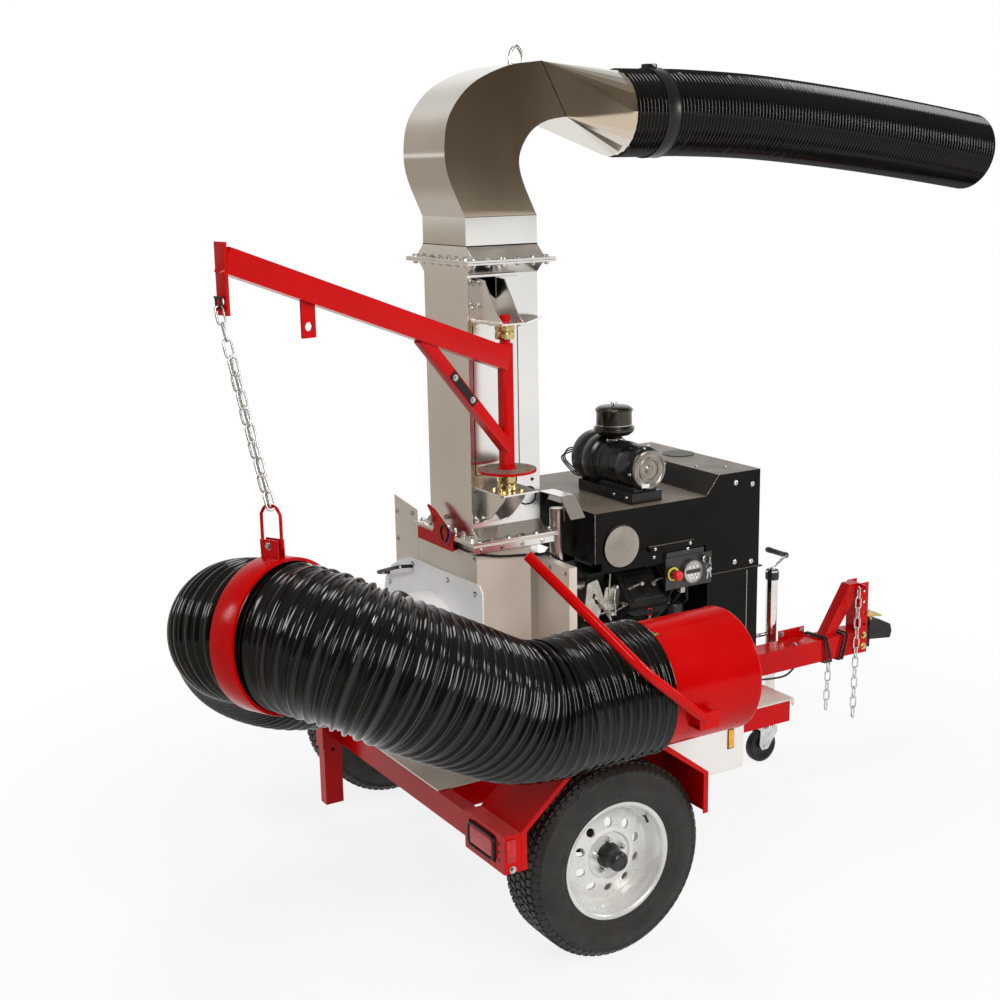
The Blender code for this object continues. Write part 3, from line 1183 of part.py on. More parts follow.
def make_caster(x, y):
    make_pivot("caster_swivel", (x, y, CROWN_TOP), "jack_slide")
    axle = Vector((x - CASTER_TRAIL, y, CASTER_R))
    outline = [(x - 0.068, CROWN_LOW), (x + 0.026, CROWN_LOW), (x + 0.026, 0.135), (axle.x + 0.018, 0.062),
               (axle.x - 0.018, 0.062), (axle.x - 0.030, 0.090)]
    pieces = []
    for side in (-1, 1):
        y0, y1 = sorted((y + side * 0.0250, y + side * 0.0290))
        pieces.append(plate([(a, b + (0.001 if b == CROWN_LOW else 0)) for a, b in outline], y0, y1, "Y"))
    reach = Vector((0, 0.031, 0))
    pieces.append(rod(axle - reach, axle + reach, 0.0070, sides=10))
    pieces.append(rod((x, y, CROWN_LOW + 0.001), (x, y, LEG_FOOT - GAP), 0.020, sides=14))
    node("caster_fork", "zinc", box(x - 0.068, x + 0.026, y - 0.0290, y + 0.0290, CROWN_LOW, CROWN_TOP),
         add=pieces, pivot="caster_swivel")
    make_pivot("caster_roll", axle, "caster_swivel")
    half = [(0.0078, 0.0220), (0.022, 0.0220), (0.026, 0.017), (CASTER_R, 0.017)]
    profile = half + [(r, -a) for r, a in reversed(half)]
    node("caster_wheel", "black", turned(profile, axle, "Y", 16), pivot="caster_roll", smooth=True)


# Safety chains and leads

def make_safety_chains():
    """One chain hangs from the hitch plate, the other from under the tongue."""
    for name, (y, x, high, count) in CHAINS.items():
        links = chain_links(even([Vector((x, y, high)), Vector((x - 0.012, y, 0.186))], count))
        node(f"safety_chain_{name}", "zinc", links[0], add=links[1:])


def wound_path():
    """Lead that sags under the tongue, then winds round it, corner by corner."""
    half = TONGUE_SIZE / 2
    stand = HARNESS_R + HARNESS_GAP
    slack = ((FRAME_FRONT + 0.002, -0.030, 0.457), (1.343, -0.030, 0.455), (1.440, -0.030, 0.443),
             (1.518, -0.030, 0.443), (1.600, 0.010, 0.456))
    out = spline(slack, 3)
    corners = ((half, TONGUE_BOTTOM, 270, 360), (half, TONGUE_TOP, 0, 90), (-half, TONGUE_TOP, 90, 180),
               (-half, TONGUE_BOTTOM, 180, 270))
    for loop in HARNESS_LOOPS:
        for x, (y, z, low, high) in zip(loop, corners):
            for step in range(2):
                angle = math.radians(low + (high - low) * (step + 0.5) / 2)
                out.append(Vector((x + 0.002 * step, y + stand * math.cos(angle), z + stand * math.sin(angle))))
    return out


def least_gap(points, radius, apart):
    """Least free distance between parts of the tube that are further apart than given along it."""
    best = 1.0
    fine = even(points, 600)
    step = (fine[1] - fine[0]).length
    skip = int(apart / step)
    for i, here in enumerate(fine):
        for there in fine[i + skip:]:
            best = min(best, (here - there).length)
    return best - 2 * radius


def make_leads():
    path = wound_path()
    cord("wiring_harness", "rubber", path, HARNESS_R, 1)
    print("least gap between turns of the harness:", round(least_gap(path, HARNESS_R, 0.060) * 1000, 2), "mm")
    near = AXIS_Y - SCROLL_R - 0.004 - CABLE_R - 0.001
    run = ((-0.1175, -0.020, 1.268), (-0.1175, -0.120, 1.269), (-0.119, -0.180, 1.269),
           (-0.108, near - 0.003, 1.267), (-0.080, near, 1.262), (-0.018, near, 1.248), (0.093, near, 1.236),
           (0.145, near, 1.229), (0.192, -0.200, 1.228), (0.232, -0.208, 1.200), (0.290, -0.210, 1.150),
           (0.345, -0.210, 1.128))
    cord("interlock_cable", "rubber", spline(run, 2), CABLE_R, 1)


def place_root():
    """Move the whole assembly so that its lowest middle point is the origin."""
    bpy.context.view_layer.update()
    depsgraph = bpy.context.evaluated_depsgraph_get()
    low, high = Vector((9, 9, 9)), Vector((-9, -9, -9))
    for item in BUILT:
        shape = item.evaluated_get(depsgraph)
        for vertex in shape.data.vertices:
            place = item.matrix_world @ vertex.co
            low = Vector(map(min, low, place))
            high = Vector(map(max, high, place))
    ROOT.location = (-(low.x + high.x) / 2, -(low.y + high.y) / 2, -low.z)


clear_scene()
ROOT = bpy.data.objects.new("loader", None)
bpy.context.scene.collection.objects.link(ROOT)
make_frame()
make_axle()
CHANNEL_X = make_tongue()
make_coupler(CHANNEL_X)
for label, hand in (("right", -1), ("left", 1)):
    make_fender(label, hand)
    make_wheel(label, hand)
make_housing()
make_bulkhead()
make_inlet()
make_impeller()
make_duct()
make_brackets()
make_elbow()
make_discharge_hose()
HOSE_POINTS = make_intake_hose()
make_boom(HOSE_POINTS)
make_nozzle()
make_engine()
make_cowl()
make_exhaust()
make_air_cleaner()
make_panel()
make_side_pieces()
make_jack()
make_safety_chains()
make_leads()
place_root()
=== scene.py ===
"""Tow-behind leaf loader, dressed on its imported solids.
Places are measured from the ground under the middle of the axle, +X forwards, +Z up."""

import json
import math

import bmesh
import bpy
from mathutils import Matrix, Vector

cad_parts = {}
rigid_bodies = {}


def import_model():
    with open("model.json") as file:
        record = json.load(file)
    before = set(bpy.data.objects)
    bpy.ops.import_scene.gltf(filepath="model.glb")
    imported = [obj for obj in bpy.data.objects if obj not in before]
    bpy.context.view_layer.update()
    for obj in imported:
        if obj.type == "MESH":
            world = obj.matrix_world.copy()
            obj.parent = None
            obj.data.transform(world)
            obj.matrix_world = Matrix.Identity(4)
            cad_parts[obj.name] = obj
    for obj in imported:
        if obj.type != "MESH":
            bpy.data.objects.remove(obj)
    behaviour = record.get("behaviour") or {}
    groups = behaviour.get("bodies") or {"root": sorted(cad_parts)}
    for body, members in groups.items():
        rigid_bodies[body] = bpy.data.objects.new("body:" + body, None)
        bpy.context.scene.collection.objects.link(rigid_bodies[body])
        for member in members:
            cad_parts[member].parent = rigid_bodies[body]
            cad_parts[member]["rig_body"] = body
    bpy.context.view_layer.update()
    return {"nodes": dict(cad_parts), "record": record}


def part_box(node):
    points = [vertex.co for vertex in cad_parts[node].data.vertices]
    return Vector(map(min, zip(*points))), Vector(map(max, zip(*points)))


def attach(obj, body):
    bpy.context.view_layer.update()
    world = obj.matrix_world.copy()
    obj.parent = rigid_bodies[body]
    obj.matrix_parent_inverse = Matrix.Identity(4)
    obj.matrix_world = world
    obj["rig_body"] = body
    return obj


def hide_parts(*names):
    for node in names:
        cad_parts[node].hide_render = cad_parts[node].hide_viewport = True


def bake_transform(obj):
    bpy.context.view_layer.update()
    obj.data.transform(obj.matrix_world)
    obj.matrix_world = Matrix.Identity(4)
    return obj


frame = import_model()


# Camera: a longish lens a little above head height, at the machine's rear right corner,
# tipped down so that the wheels and the raised discharge hose both fit.

axle_low, axle_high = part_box("axle")
DATUM = Vector(((axle_low[0] + axle_high[0]) / 2, (axle_low[1] + axle_high[1]) / 2, 0.0))


def at(x, y, z):
    """A place measured from the ground under the middle of the axle."""
    return DATUM + Vector((x, y, z))


def look(yaw, pitch, roll):
    """Turn of a camera that looks along yaw, tipped by pitch and rolled, all in degrees."""
    a, b, c = (math.radians(angle) for angle in (yaw, pitch, roll))
    forward = Vector((math.cos(a) * math.cos(b), math.sin(a) * math.cos(b), -math.sin(b)))
    right = forward.cross(Vector((0, 0, 1))).normalized()
    up = right.cross(forward)
    tilted = right * math.cos(c) + up * math.sin(c)
    return Matrix((tilted, tilted.cross(forward), -forward)).transposed()


camera_data = bpy.data.cameras.new("view")
camera_data.sensor_width = 36.0
camera_data.lens = 53.59
camera_data.clip_end = 200.0
camera = bpy.data.objects.new("view", camera_data)
camera.matrix_world = Matrix.Translation(at(-2.6808, -4.6566, 2.6327)) @ look(59.0983, 12.7595, -1.0477).to_4x4()
bpy.context.scene.collection.objects.link(camera)
bpy.context.scene.camera = camera
bpy.context.scene.view_settings.view_transform = "Standard"


# Studio: a plain white floor and surround with soft lamps. Polished metal mirrors white
# floor and backdrop, a greyer floor to the left, and the dark room behind the camera.

DARK_ROOM = (0.085, 0.07, 0.05, 1.0)
LEFT_GREY = (0.44, 0.39, 0.335, 1.0)
CEILING = (0.3, 0.28, 0.25)
WHITE = (1.0, 1.0, 1.0, 1.0)


def link(tree, source, target):
    """Join one node's output to another's input."""
    tree.links.new(source, target)


def filled(node, values):
    """The same node with these values in its inputs."""
    for socket, value in values.items():
        node.inputs[socket].default_value = value
    return node


def added(tree, kind, values=None, **settings):
    """A new shader node with its settings and the values of its inputs."""
    node = tree.nodes.new(f"ShaderNode{kind}")
    for setting, value in settings.items():
        setattr(node, setting, value)
    return filled(node, values or {})


def computed(tree, operation, *sources, kind="Math"):
    """The result of one calculation on other nodes' outputs."""
    node = added(tree, kind, operation=operation)
    for k, source in enumerate(sources):
        link(tree, source, node.inputs[k])
    return node.outputs[0]


def axes(tree, kind, output):
    """The X, Y and Z of a vector that the surface knows, such as its place or its normal."""
    split = added(tree, "SeparateXYZ")
    link(tree, added(tree, kind).outputs[output], split.inputs["Vector"])
    return split.outputs


def spread(tree, source, low, high, start=0.35, end=0.65, change="LINEAR"):
    """A pattern's values from start to end carried onto the range low to high."""
    step = added(tree, "MapRange", {"From Min": start, "From Max": end, "To Min": low, "To Max": high},
        interpolation_type=change)
    link(tree, source, step.inputs["Value"])
    return step.outputs["Result"]


def stepped(tree, source, start, end, low=0.0, high=1.0):
    """low below start and high above end, with a soft change between."""
    return spread(tree, source, low, high, start, end, "SMOOTHSTEP")


def two_tone(tree, factor, first, second):
    """One colour turning into another; each is a colour or another node's output."""
    mix = added(tree, "Mix", data_type="RGBA")
    for socket, colour in (("A", first), ("B", second)):
        if isinstance(colour, bpy.types.NodeSocket):
            link(tree, colour, mix.inputs[socket])
        else:
            mix.inputs[socket].default_value = (*colour[:3], 1.0)
    link(tree, factor, mix.inputs["Factor"])
    return mix.outputs["Result"]


def seen_or_mirrored(tree):
    """1 for what the camera sees straight, in a mirror or through glass, 0 for its light."""
    rays = added(tree, "LightPath").outputs
    value = rays["Is Camera Ray"]
    for other in ("Is Glossy Ray", "Is Transmission Ray"):
        value = computed(tree, "MAXIMUM", value, rays[other])
    return value


def between(tree, share, first, second):
    """A mix of two shaders."""
    mix = added(tree, "MixShader")
    for k, source in enumerate((share, first, second)):
        link(tree, source, mix.inputs[k])
    return mix.outputs["Shader"]


def studio_world():
    """Even soft light, white behind the machine, and the room that polished metal mirrors."""
    world = bpy.data.worlds.new("studio")
    world.use_nodes = True
    tree = world.node_tree
    tree.nodes.clear()
    soft = added(tree, "Background", {"Color": WHITE, "Strength": 0.3})
    seen = added(tree, "Background", {"Color": WHITE})
    mirrored = added(tree, "Background")
    way = axes(tree, "TexCoord", "Generated")
    backdrop = two_tone(tree, stepped(tree, way["X"], -0.55, -0.1), LEFT_GREY, WHITE)
    above = two_tone(tree, stepped(tree, way["Y"], -0.25, 0.15), DARK_ROOM, backdrop)
    high = two_tone(tree, stepped(tree, way["Z"], 0.35, 0.75), above, CEILING)
    link(tree, two_tone(tree, stepped(tree, way["Z"], -0.012, 0.01), WHITE, high), mirrored.inputs["Color"])
    unseen = between(tree, seen_or_mirrored(tree), soft.outputs["Background"], mirrored.outputs["Background"])
    camera_ray = added(tree, "LightPath").outputs["Is Camera Ray"]
    link(tree, between(tree, camera_ray, unseen, seen.outputs["Background"]),
        added(tree, "OutputWorld").inputs["Surface"])
    bpy.context.scene.world = world


def placed(name, data):
    """A new object in the scene that shows the data."""
    item = bpy.data.objects.new(name, data)
    bpy.context.scene.collection.objects.link(item)
    return item


def softbox(name, place, size, power):
    """A rectangular soft lamp aimed at the machine's middle."""
    data = bpy.data.lights.new(name, "AREA")
    data.shape = "RECTANGLE"
    data.size, data.size_y = size
    data.energy = power
    lamp = placed(name, data)
    lamp.location = place
    lamp.rotation_euler = (MIDDLE - place).to_track_quat("-Z", "Y").to_euler()


def new_paint(name, values):
    """A material with these values in its shader, its node tree and the shader."""
    paint = bpy.data.materials.new(name)
    paint.use_nodes = True
    tree = paint.node_tree
    return paint, tree, filled(tree.nodes["Principled BSDF"], values)


def white_floor():
    """Plain floor that keeps a faint shadow near the wheels and turns white further out."""
    mesh = bpy.data.meshes.new("floor")
    mesh.from_pydata([(-60, -60, 0), (60, -60, 0), (60, 60, 0), (-60, 60, 0)], [], [(0, 1, 2, 3)])
    floor = placed("floor", mesh)
    paint, tree, shader = new_paint("floor_white", {"Base Color": (0.86, 0.86, 0.86, 1.0), "Roughness": 0.9,
        "Specular IOR Level": 0.05})
    glow = added(tree, "Emission")
    tone = two_tone(tree, stepped(tree, axes(tree, "TexCoord", "Object")["X"], -3.2, -1.4), LEFT_GREY, WHITE)
    camera_ray = added(tree, "LightPath").outputs["Is Camera Ray"]
    link(tree, two_tone(tree, camera_ray, tone, WHITE), glow.inputs["Color"])
    far = added(tree, "VectorMath", operation="LENGTH")
    link(tree, added(tree, "TexCoord").outputs["Object"], far.inputs[0])
    share = stepped(tree, far.outputs["Value"], 1.2, 3.6, 0.84, 1.0)
    seen = computed(tree, "MULTIPLY", share, seen_or_mirrored(tree))
    link(tree, between(tree, seen, shader.outputs["BSDF"], glow.outputs["Emission"]),
        tree.nodes["Material Output"].inputs["Surface"])
    mesh.materials.append(paint)


studio_world()
white_floor()
MIDDLE = at(0.4, 0.0, 1.2)
softbox("key", at(-0.5, -6.8, 4.6), (1.9, 4.2), 300)
softbox("side", at(5.5, -3.5, 3.6), (1.2, 1.2), 110)
softbox("rear", at(-6.0, 1.5, 4.2), (1.2, 1.6), 80)
softbox("top", at(0.5, 0.5, 7.0), (2.0, 2.0), 110)


# Trailer frame: two steel rails, cross members and the sleeve of the drop leg, welded and
# powder coated red. The solid's shape is kept, with its edges rounded.

# Part slots of the solids' nodes, and the slot that goes with a finish elsewhere.
SLOTS = {row["node"]: row["material_slot"] for row in frame["record"]["subparts"]}
FINISH_SLOTS = {}


def noise(tree, scale, detail=3.0, stretch=None):
    """Noise on Object coordinates, drawn out along an axis if stretch is given."""
    grain = added(tree, "TexNoise", {"Scale": scale, "Detail": detail})
    source = added(tree, "TexCoord").outputs["Object"]
    if stretch:
        mapping = added(tree, "Mapping", {"Scale": stretch})
        link(tree, source, mapping.inputs["Vector"])
        source = mapping.outputs["Vector"]
    link(tree, source, grain.inputs["Vector"])
    return grain.outputs["Fac"]


def bumped(tree, shader, source, strength, distance):
    """Small relief on the surface from a pattern."""
    bump = added(tree, "Bump", {"Strength": strength, "Distance": distance})
    link(tree, source, bump.inputs["Height"])
    link(tree, bump.outputs["Normal"], shader.inputs["Normal"])


def finish(name, first, second, rough, metallic=0.0, patch=3.0, grain=220.0, bump=0.08, coat=0.0, depth=0.0004,
        specular=0.5, slot=None):
    """A finish with slow changes of colour and gloss and a fine grain."""
    paint, tree, shader = new_paint(name, {"Metallic": metallic, "Specular IOR Level": specular, "Coat Weight": coat,
        "Coat Roughness": 0.06})
    colour = two_tone(tree, spread(tree, noise(tree, patch, 4.0), 0.0, 1.0), first, second)
    link(tree, colour, shader.inputs["Base Color"])
    link(tree, spread(tree, noise(tree, patch * 2.3), *rough), shader.inputs["Roughness"])
    if bump:
        bumped(tree, shader, noise(tree, grain, 2.0), bump, depth)
    FINISH_SLOTS[paint.name] = slot
    return paint


def as_mesh(work, name):
    """A mesh from a shape in the making, which is let go."""
    data = bpy.data.meshes.new(name)
    work.to_mesh(data)
    work.free()
    return data


def joined(first, *others):
    """The first shape with the others added to it."""
    for other in others:
        data = as_mesh(other, "other")
        first.from_mesh(data)
        bpy.data.meshes.remove(data)
    return first


def piece(name, parts, material, stands_for=(), slot=None, body="trailer", edge=0.0, steps=2, angle=30, smooth=True):
    """One finished object from several shapes, riding on a body."""
    data = as_mesh(joined(bmesh.new(), *parts), name)
    item = placed(name, data)
    data.materials.append(material)
    if smooth:
        data.shade_smooth()
        data.set_sharp_from_angle(angle=math.radians(angle))
    if edge:
        bevel = item.modifiers.new("edge", "BEVEL")
        bevel.width = edge
        bevel.segments = steps
        bevel.limit_method = "ANGLE"
        bevel.angle_limit = math.radians(angle)
        bevel.harden_normals = True
        bevel.use_clamp_overlap = True
    if body:
        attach(item, body)
    if stands_for:
        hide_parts(*stands_for)
    slot = slot or (SLOTS[stands_for[0]] if stands_for else FINISH_SLOTS.get(material.name))
    return item


def skin(node, material, edge=0.0015, steps=2):
    """The solid's own shape as one merged mesh with rounded edges; it stands for the solid."""
    source = frame["nodes"][node]
    work = bmesh.new()
    work.from_mesh(source.data)
    bmesh.ops.remove_doubles(work, verts=work.verts, dist=1e-5)
    bmesh.ops.dissolve_limit(work, angle_limit=math.radians(0.5), verts=work.verts, edges=work.edges)
    piece(f"{node}_skin", [work], material, (node,), body=source["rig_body"], edge=edge, steps=steps)


red_coat = finish("red_coat", (0.48, 0.0006, 0.001), (0.56, 0.0009, 0.0014), (0.15, 0.24), bump=0.05, specular=0.14,
    slot="red_paint")
skin("chassis_frame", red_coat, 0.004)


# Deck: a sheet of bare stainless that lies on the rails and carries the blower and engine.

def brushed(name, first, second, rough, stretch):
    """Bare rolled sheet with fine drawn-out scratches and soft patches."""
    metal = finish(name, first, second, rough, metallic=1.0, patch=1.6, bump=0.0)
    tree = metal.node_tree
    shader = filled(tree.nodes["Principled BSDF"], {"Anisotropic": 0.3})
    bumped(tree, shader, noise(tree, 160.0, 2.0, stretch), 0.1, 0.0003)
    return metal


deck_metal = brushed("deck_metal", (0.68, 0.63, 0.57), (0.8, 0.75, 0.68), (0.3, 0.45), (0.03, 1.0, 1.0))
skin("deck_plate", deck_metal, 0.0012)


# Axle: a square black tube with welded brake flanges and spindles.

black_coat = finish("black_coat", (0.005, 0.005, 0.005), (0.009, 0.009, 0.009), (0.26, 0.36), bump=0.12, specular=0.3)
filled(black_coat.node_tree.nodes["Principled BSDF"], {"Specular Tint": (1.0, 0.92, 0.82, 1.0)})
skin("axle", black_coat, 0.003)


# Rims: pressed steel wheels in pale silver paint, with a dished disc of ten round windows,
# and a raised middle for five studs.

WHEEL_R = 0.344
TRACK_HALF = 0.818
WHEELS = {"right": -1, "left": 1}


def strip(work, rings):
    """Faces between each ring of points and the next."""
    for a, b in zip(rings, rings[1:]):
        for k in range(len(a)):
            after = (k + 1) % len(a)
            work.faces.new((a[k], a[after], b[after], b[k]))


def turned_about(profile, centre=(0, 0, 0), along=(0, 0, 1), sides=48):
    """Turn (radius, along) points round an axis through the centre."""
    along = Vector(along).normalized()
    first = along.orthogonal().normalized()
    second = along.cross(first)
    work = bmesh.new()
    rings = []
    for index in range(sides):
        angle = math.tau * index / sides
        out = first * math.cos(angle) + second * math.sin(angle)
        rings.append([work.verts.new(Vector(centre) + out * r + along * a) for r, a in profile])
    strip(work, rings + rings[:1])
    bmesh.ops.remove_doubles(work, verts=work.verts, dist=1e-6)
    flat = [face for face in work.faces if face.calc_area() < 1e-13]
    bmesh.ops.delete(work, geom=flat, context="FACES")
    bmesh.ops.recalc_face_normals(work, faces=work.faces)
    return work


def eased(profile, radius, steps=3):
    """The same closed outline with its corners rounded."""
    out = []
    for k, corner in enumerate(profile):
        here = Vector(corner)
        ways = [Vector(profile[other % len(profile)]) - here for other in (k - 1, k + 1)]
        start, end = (here + way.normalized() * min(radius, way.length * 0.45) for way in ways)
        for step in range(steps + 1):
            t = step / steps
            point = start * (1 - t) ** 2 + here * 2 * t * (1 - t) + end * t * t
            out.append((point.x, point.y))
    return out


def spoke(angle, reach=1.0):
    """A vector in the plane across the axles, at an angle from forwards."""
    return Vector((math.cos(angle) * reach, 0.0, math.sin(angle) * reach))


def round_places(centre, radius, count, turn=0.0):
    """Places at equal steps on a circle about an axis along Y."""
    return [centre + spoke(math.tau * step / count + turn, radius) for step in range(count)]


def settled(item, helper):
    """The shape that an object's modifiers give; the object and its helper are then removed."""
    bpy.context.view_layer.update()
    data = bpy.data.meshes.new_from_object(item.evaluated_get(bpy.context.evaluated_depsgraph_get()))
    for used in (item, helper):
        bpy.data.objects.remove(used)
    work = bmesh.new()
    work.from_mesh(data)
    bpy.data.meshes.remove(data)
    return work


def punched(name, work, holes, material, body, stands_for):
    """Cut round holes through a turned piece: each hole is (start, end, radius)."""
    drill = bmesh.new()
    for start, end, radius in holes:
        deep = (end - start).length
        joined(drill, turned_about([(0.0, 0.0), (radius, 0.0), (radius, deep), (0.0, deep)], start, end - start, 28))
    tool = placed(f"{name}_holes", as_mesh(drill, f"{name}_holes"))
    blank = placed(f"{name}_blank", as_mesh(work, f"{name}_blank"))
    cut = blank.modifiers.new("cut", "BOOLEAN")
    cut.object = tool
    cut.solver = "EXACT"
    piece(name, [settled(blank, tool)], material, stands_for, None, body, angle=32)


def pin(start, end, radius):
    """A round bar between two points with its rims eased."""
    start, end = Vector(start), Vector(end)
    length = (end - start).length
    edge = min(0.0008, radius * 0.4, length * 0.4)
    profile = [(0.0, 0.0), (radius - edge, 0.0), (radius, edge), (radius, length - edge), (radius - edge, length),
        (0.0, length)]
    return turned_about(profile, start, end - start, 24)


rim_coat = finish("rim_coat", (0.66, 0.65, 0.62), (0.74, 0.73, 0.7), (0.22, 0.34), metallic=0.25, patch=5.0,
    bump=0.04, coat=0.2)
RIM = [(0.2085, 0.086), (0.2075, 0.0835), (0.2035, 0.0828), (0.1985, 0.0812), (0.1927, 0.0802), (0.1915, 0.074),
    (0.186, 0.058), (0.182, 0.04), (0.171, 0.022), (0.17, 0.0), (0.17, -0.035), (0.184, -0.046), (0.1915, -0.066),
    (0.1927, -0.0802), (0.2035, -0.0828), (0.2085, -0.086), (0.205, -0.088), (0.196, -0.0835), (0.188, -0.079),
    (0.181, -0.048), (0.165, -0.038), (0.165, 0.004), (0.152, 0.0095), (0.13, 0.0165), (0.1, 0.027), (0.09, 0.03),
    (0.083, 0.0285), (0.078, 0.0215), (0.072, 0.0195), (0.044, 0.0195), (0.044, 0.0262), (0.071, 0.0262),
    (0.079, 0.0285), (0.0845, 0.0355), (0.0915, 0.037), (0.102, 0.034), (0.132, 0.0235), (0.154, 0.0165),
    (0.163, 0.0125), (0.166, 0.017), (0.169, 0.032), (0.177, 0.056), (0.183, 0.064), (0.1885, 0.072),
    (0.1905, 0.0795), (0.196, 0.085), (0.204, 0.088)]
STUD_CIRCLE = (0.0572, 5, 0.35)
HUBS = {name: at(0.0, side * TRACK_HALF, WHEEL_R) for name, side in WHEELS.items()}
for name, side in WHEELS.items():
    outward = Vector((0, side, 0))
    windows = [(place - outward * 0.03, place + outward * 0.06, 0.0155)
        for place in round_places(HUBS[name], 0.1187, 10, math.tau / 20)]
    stud_holes = [(place, place + outward * 0.05, 0.0085) for place in round_places(HUBS[name], *STUD_CIRCLE)]
    punched(f"rim_{name}_disc", turned_about(RIM, HUBS[name], outward, 96), windows + stud_holes, rim_coat,
        f"wheel_{name}", (f"rim_{name}",))


# Valves: a black rubber stem with a cap through each rim.

black_plastic = finish("black_plastic", (0.011, 0.011, 0.011), (0.019, 0.019, 0.019), (0.3, 0.42), bump=0.1,
    slot="black_plastic")
VALVE_ANGLE = 0.72
for name, side in WHEELS.items():
    foot = HUBS[name] + spoke(VALVE_ANGLE, 0.18) + Vector((0, side * 0.052, 0))
    lean = (Vector((0, side, 0)) - spoke(VALVE_ANGLE, 0.45)).normalized()
    stem = turned_about([(0.0, -0.006), (0.0085, -0.006), (0.0085, 0.0), (0.0055, 0.006), (0.0048, 0.022),
        (0.0052, 0.023), (0.0052, 0.034), (0.004, 0.036), (0.0, 0.036)], foot, lean, 16)
    piece(f"valve_{name}", [stem], black_plastic, slot="rubber", body=f"wheel_{name}")


# Tyres: black trailer tyres with a plain rounded side wall, fine rings by the bead and a
# tread of small blocks in five rows, the outer rows running over the shoulder.

def repeat_tree():
    """Node tree: the pattern on each point, turned and sized by the point's own values."""
    known = bpy.data.node_groups.get("repeat_pattern")
    if known:
        return known
    tree = bpy.data.node_groups.new("repeat_pattern", "GeometryNodeTree")
    for label, kind in (("Geometry", "NodeSocketGeometry"), ("Pattern", "NodeSocketObject"),
            ("Finish", "NodeSocketMaterial"), ("Scale", "NodeSocketFloat")):
        tree.interface.new_socket(label, in_out="INPUT", socket_type=kind)
    tree.interface.new_socket("Geometry", in_out="OUTPUT", socket_type="NodeSocketGeometry")
    inside, outside, given, spots, turn, real, paint = (tree.nodes.new(kind)
        for kind in ("NodeGroupInput", "NodeGroupOutput", "GeometryNodeObjectInfo", "GeometryNodeInstanceOnPoints",
        "GeometryNodeInputNamedAttribute", "GeometryNodeRealizeInstances", "GeometryNodeSetMaterial"))
    turn.data_type = "FLOAT_VECTOR"
    filled(turn, {"Name": "turn"})
    for source, output, target, socket in ((inside, "Pattern", given, "Object"),
            (inside, "Geometry", spots, "Points"), (given, "Geometry", spots, "Instance"),
            (turn, "Attribute", spots, "Rotation"), (inside, "Scale", spots, "Scale"),
            (spots, "Instances", real, "Geometry"), (real, "Geometry", paint, "Geometry"),
            (inside, "Finish", paint, "Material"), (paint, "Geometry", outside, "Geometry")):
        link(tree, source.outputs[output], target.inputs[socket])
    return tree


def copies(pattern, places, material):
    """One small form repeated by the node tree; each place is (point, direction, turn)."""
    dots = bpy.data.meshes.new("dots")
    dots.from_pydata([place[0] for place in places], [], [])
    turns = dots.attributes.new("turn", "FLOAT_VECTOR", "POINT")
    for k, (_, direction, turn) in enumerate(places):
        facing = Vector(direction).to_track_quat("Z", "Y") @ Matrix.Rotation(turn, 3, "Z").to_quaternion()
        turns.data[k].vector = facing.to_euler()
    holder, model = placed("dots", dots), placed("pattern", as_mesh(pattern, "pattern"))
    tree = repeat_tree()
    change = holder.modifiers.new("repeat", "NODES")
    change.node_group = tree
    sockets = {item.name: item.identifier for item in tree.interface.items_tree if item.in_out == "INPUT"}
    for label, value in (("Pattern", model), ("Finish", material), ("Scale", 1.0)):
        change[sockets[label]] = value
    return settled(holder, model)


def repeated(name, pattern, places, material, **more):
    """A piece that is one small form repeated."""
    piece(name, [copies(pattern, places, material)], material, **more)


def tread_block(width, length, height, shear=0.0):
    """A small rubber block along Z, narrower on top, its plan sheared."""
    work = bmesh.new()
    rings = [[work.verts.new((a * width / 2 * share, b * length / 2 * share + shear * a * width / 2 * share, z))
        for a, b in ((-1, -1), (1, -1), (1, 1), (-1, 1))] for share, z in ((1.0, -0.004), (0.96, height * 0.75),
        (0.86, height))]
    strip(work, rings)
    work.faces.new(list(reversed(rings[0])))
    work.faces.new(rings[-1])
    return work


BLOCKS_ROUND = 72


def tread_row(middle, form, radius, across, start, lean, hand):
    """A row of blocks round the tyre, each pointing outwards and squared to the axle."""
    row = []
    for step in range(BLOCKS_ROUND):
        radial = spoke(math.tau * (step + start) / BLOCKS_ROUND)
        out = (radial + Vector((0, lean, 0))).normalized()
        now = out.to_track_quat("Z", "Y") @ Vector((1, 0, 0))
        want = (Vector((0, hand, 0)) - out * (hand * out.y)).normalized()
        turn = math.atan2(out.dot(now.cross(want)), now.dot(want))
        row.append((middle + radial * radius + Vector((0, across, 0)), out, turn))
    return copies(form, row, tyre_rubber)


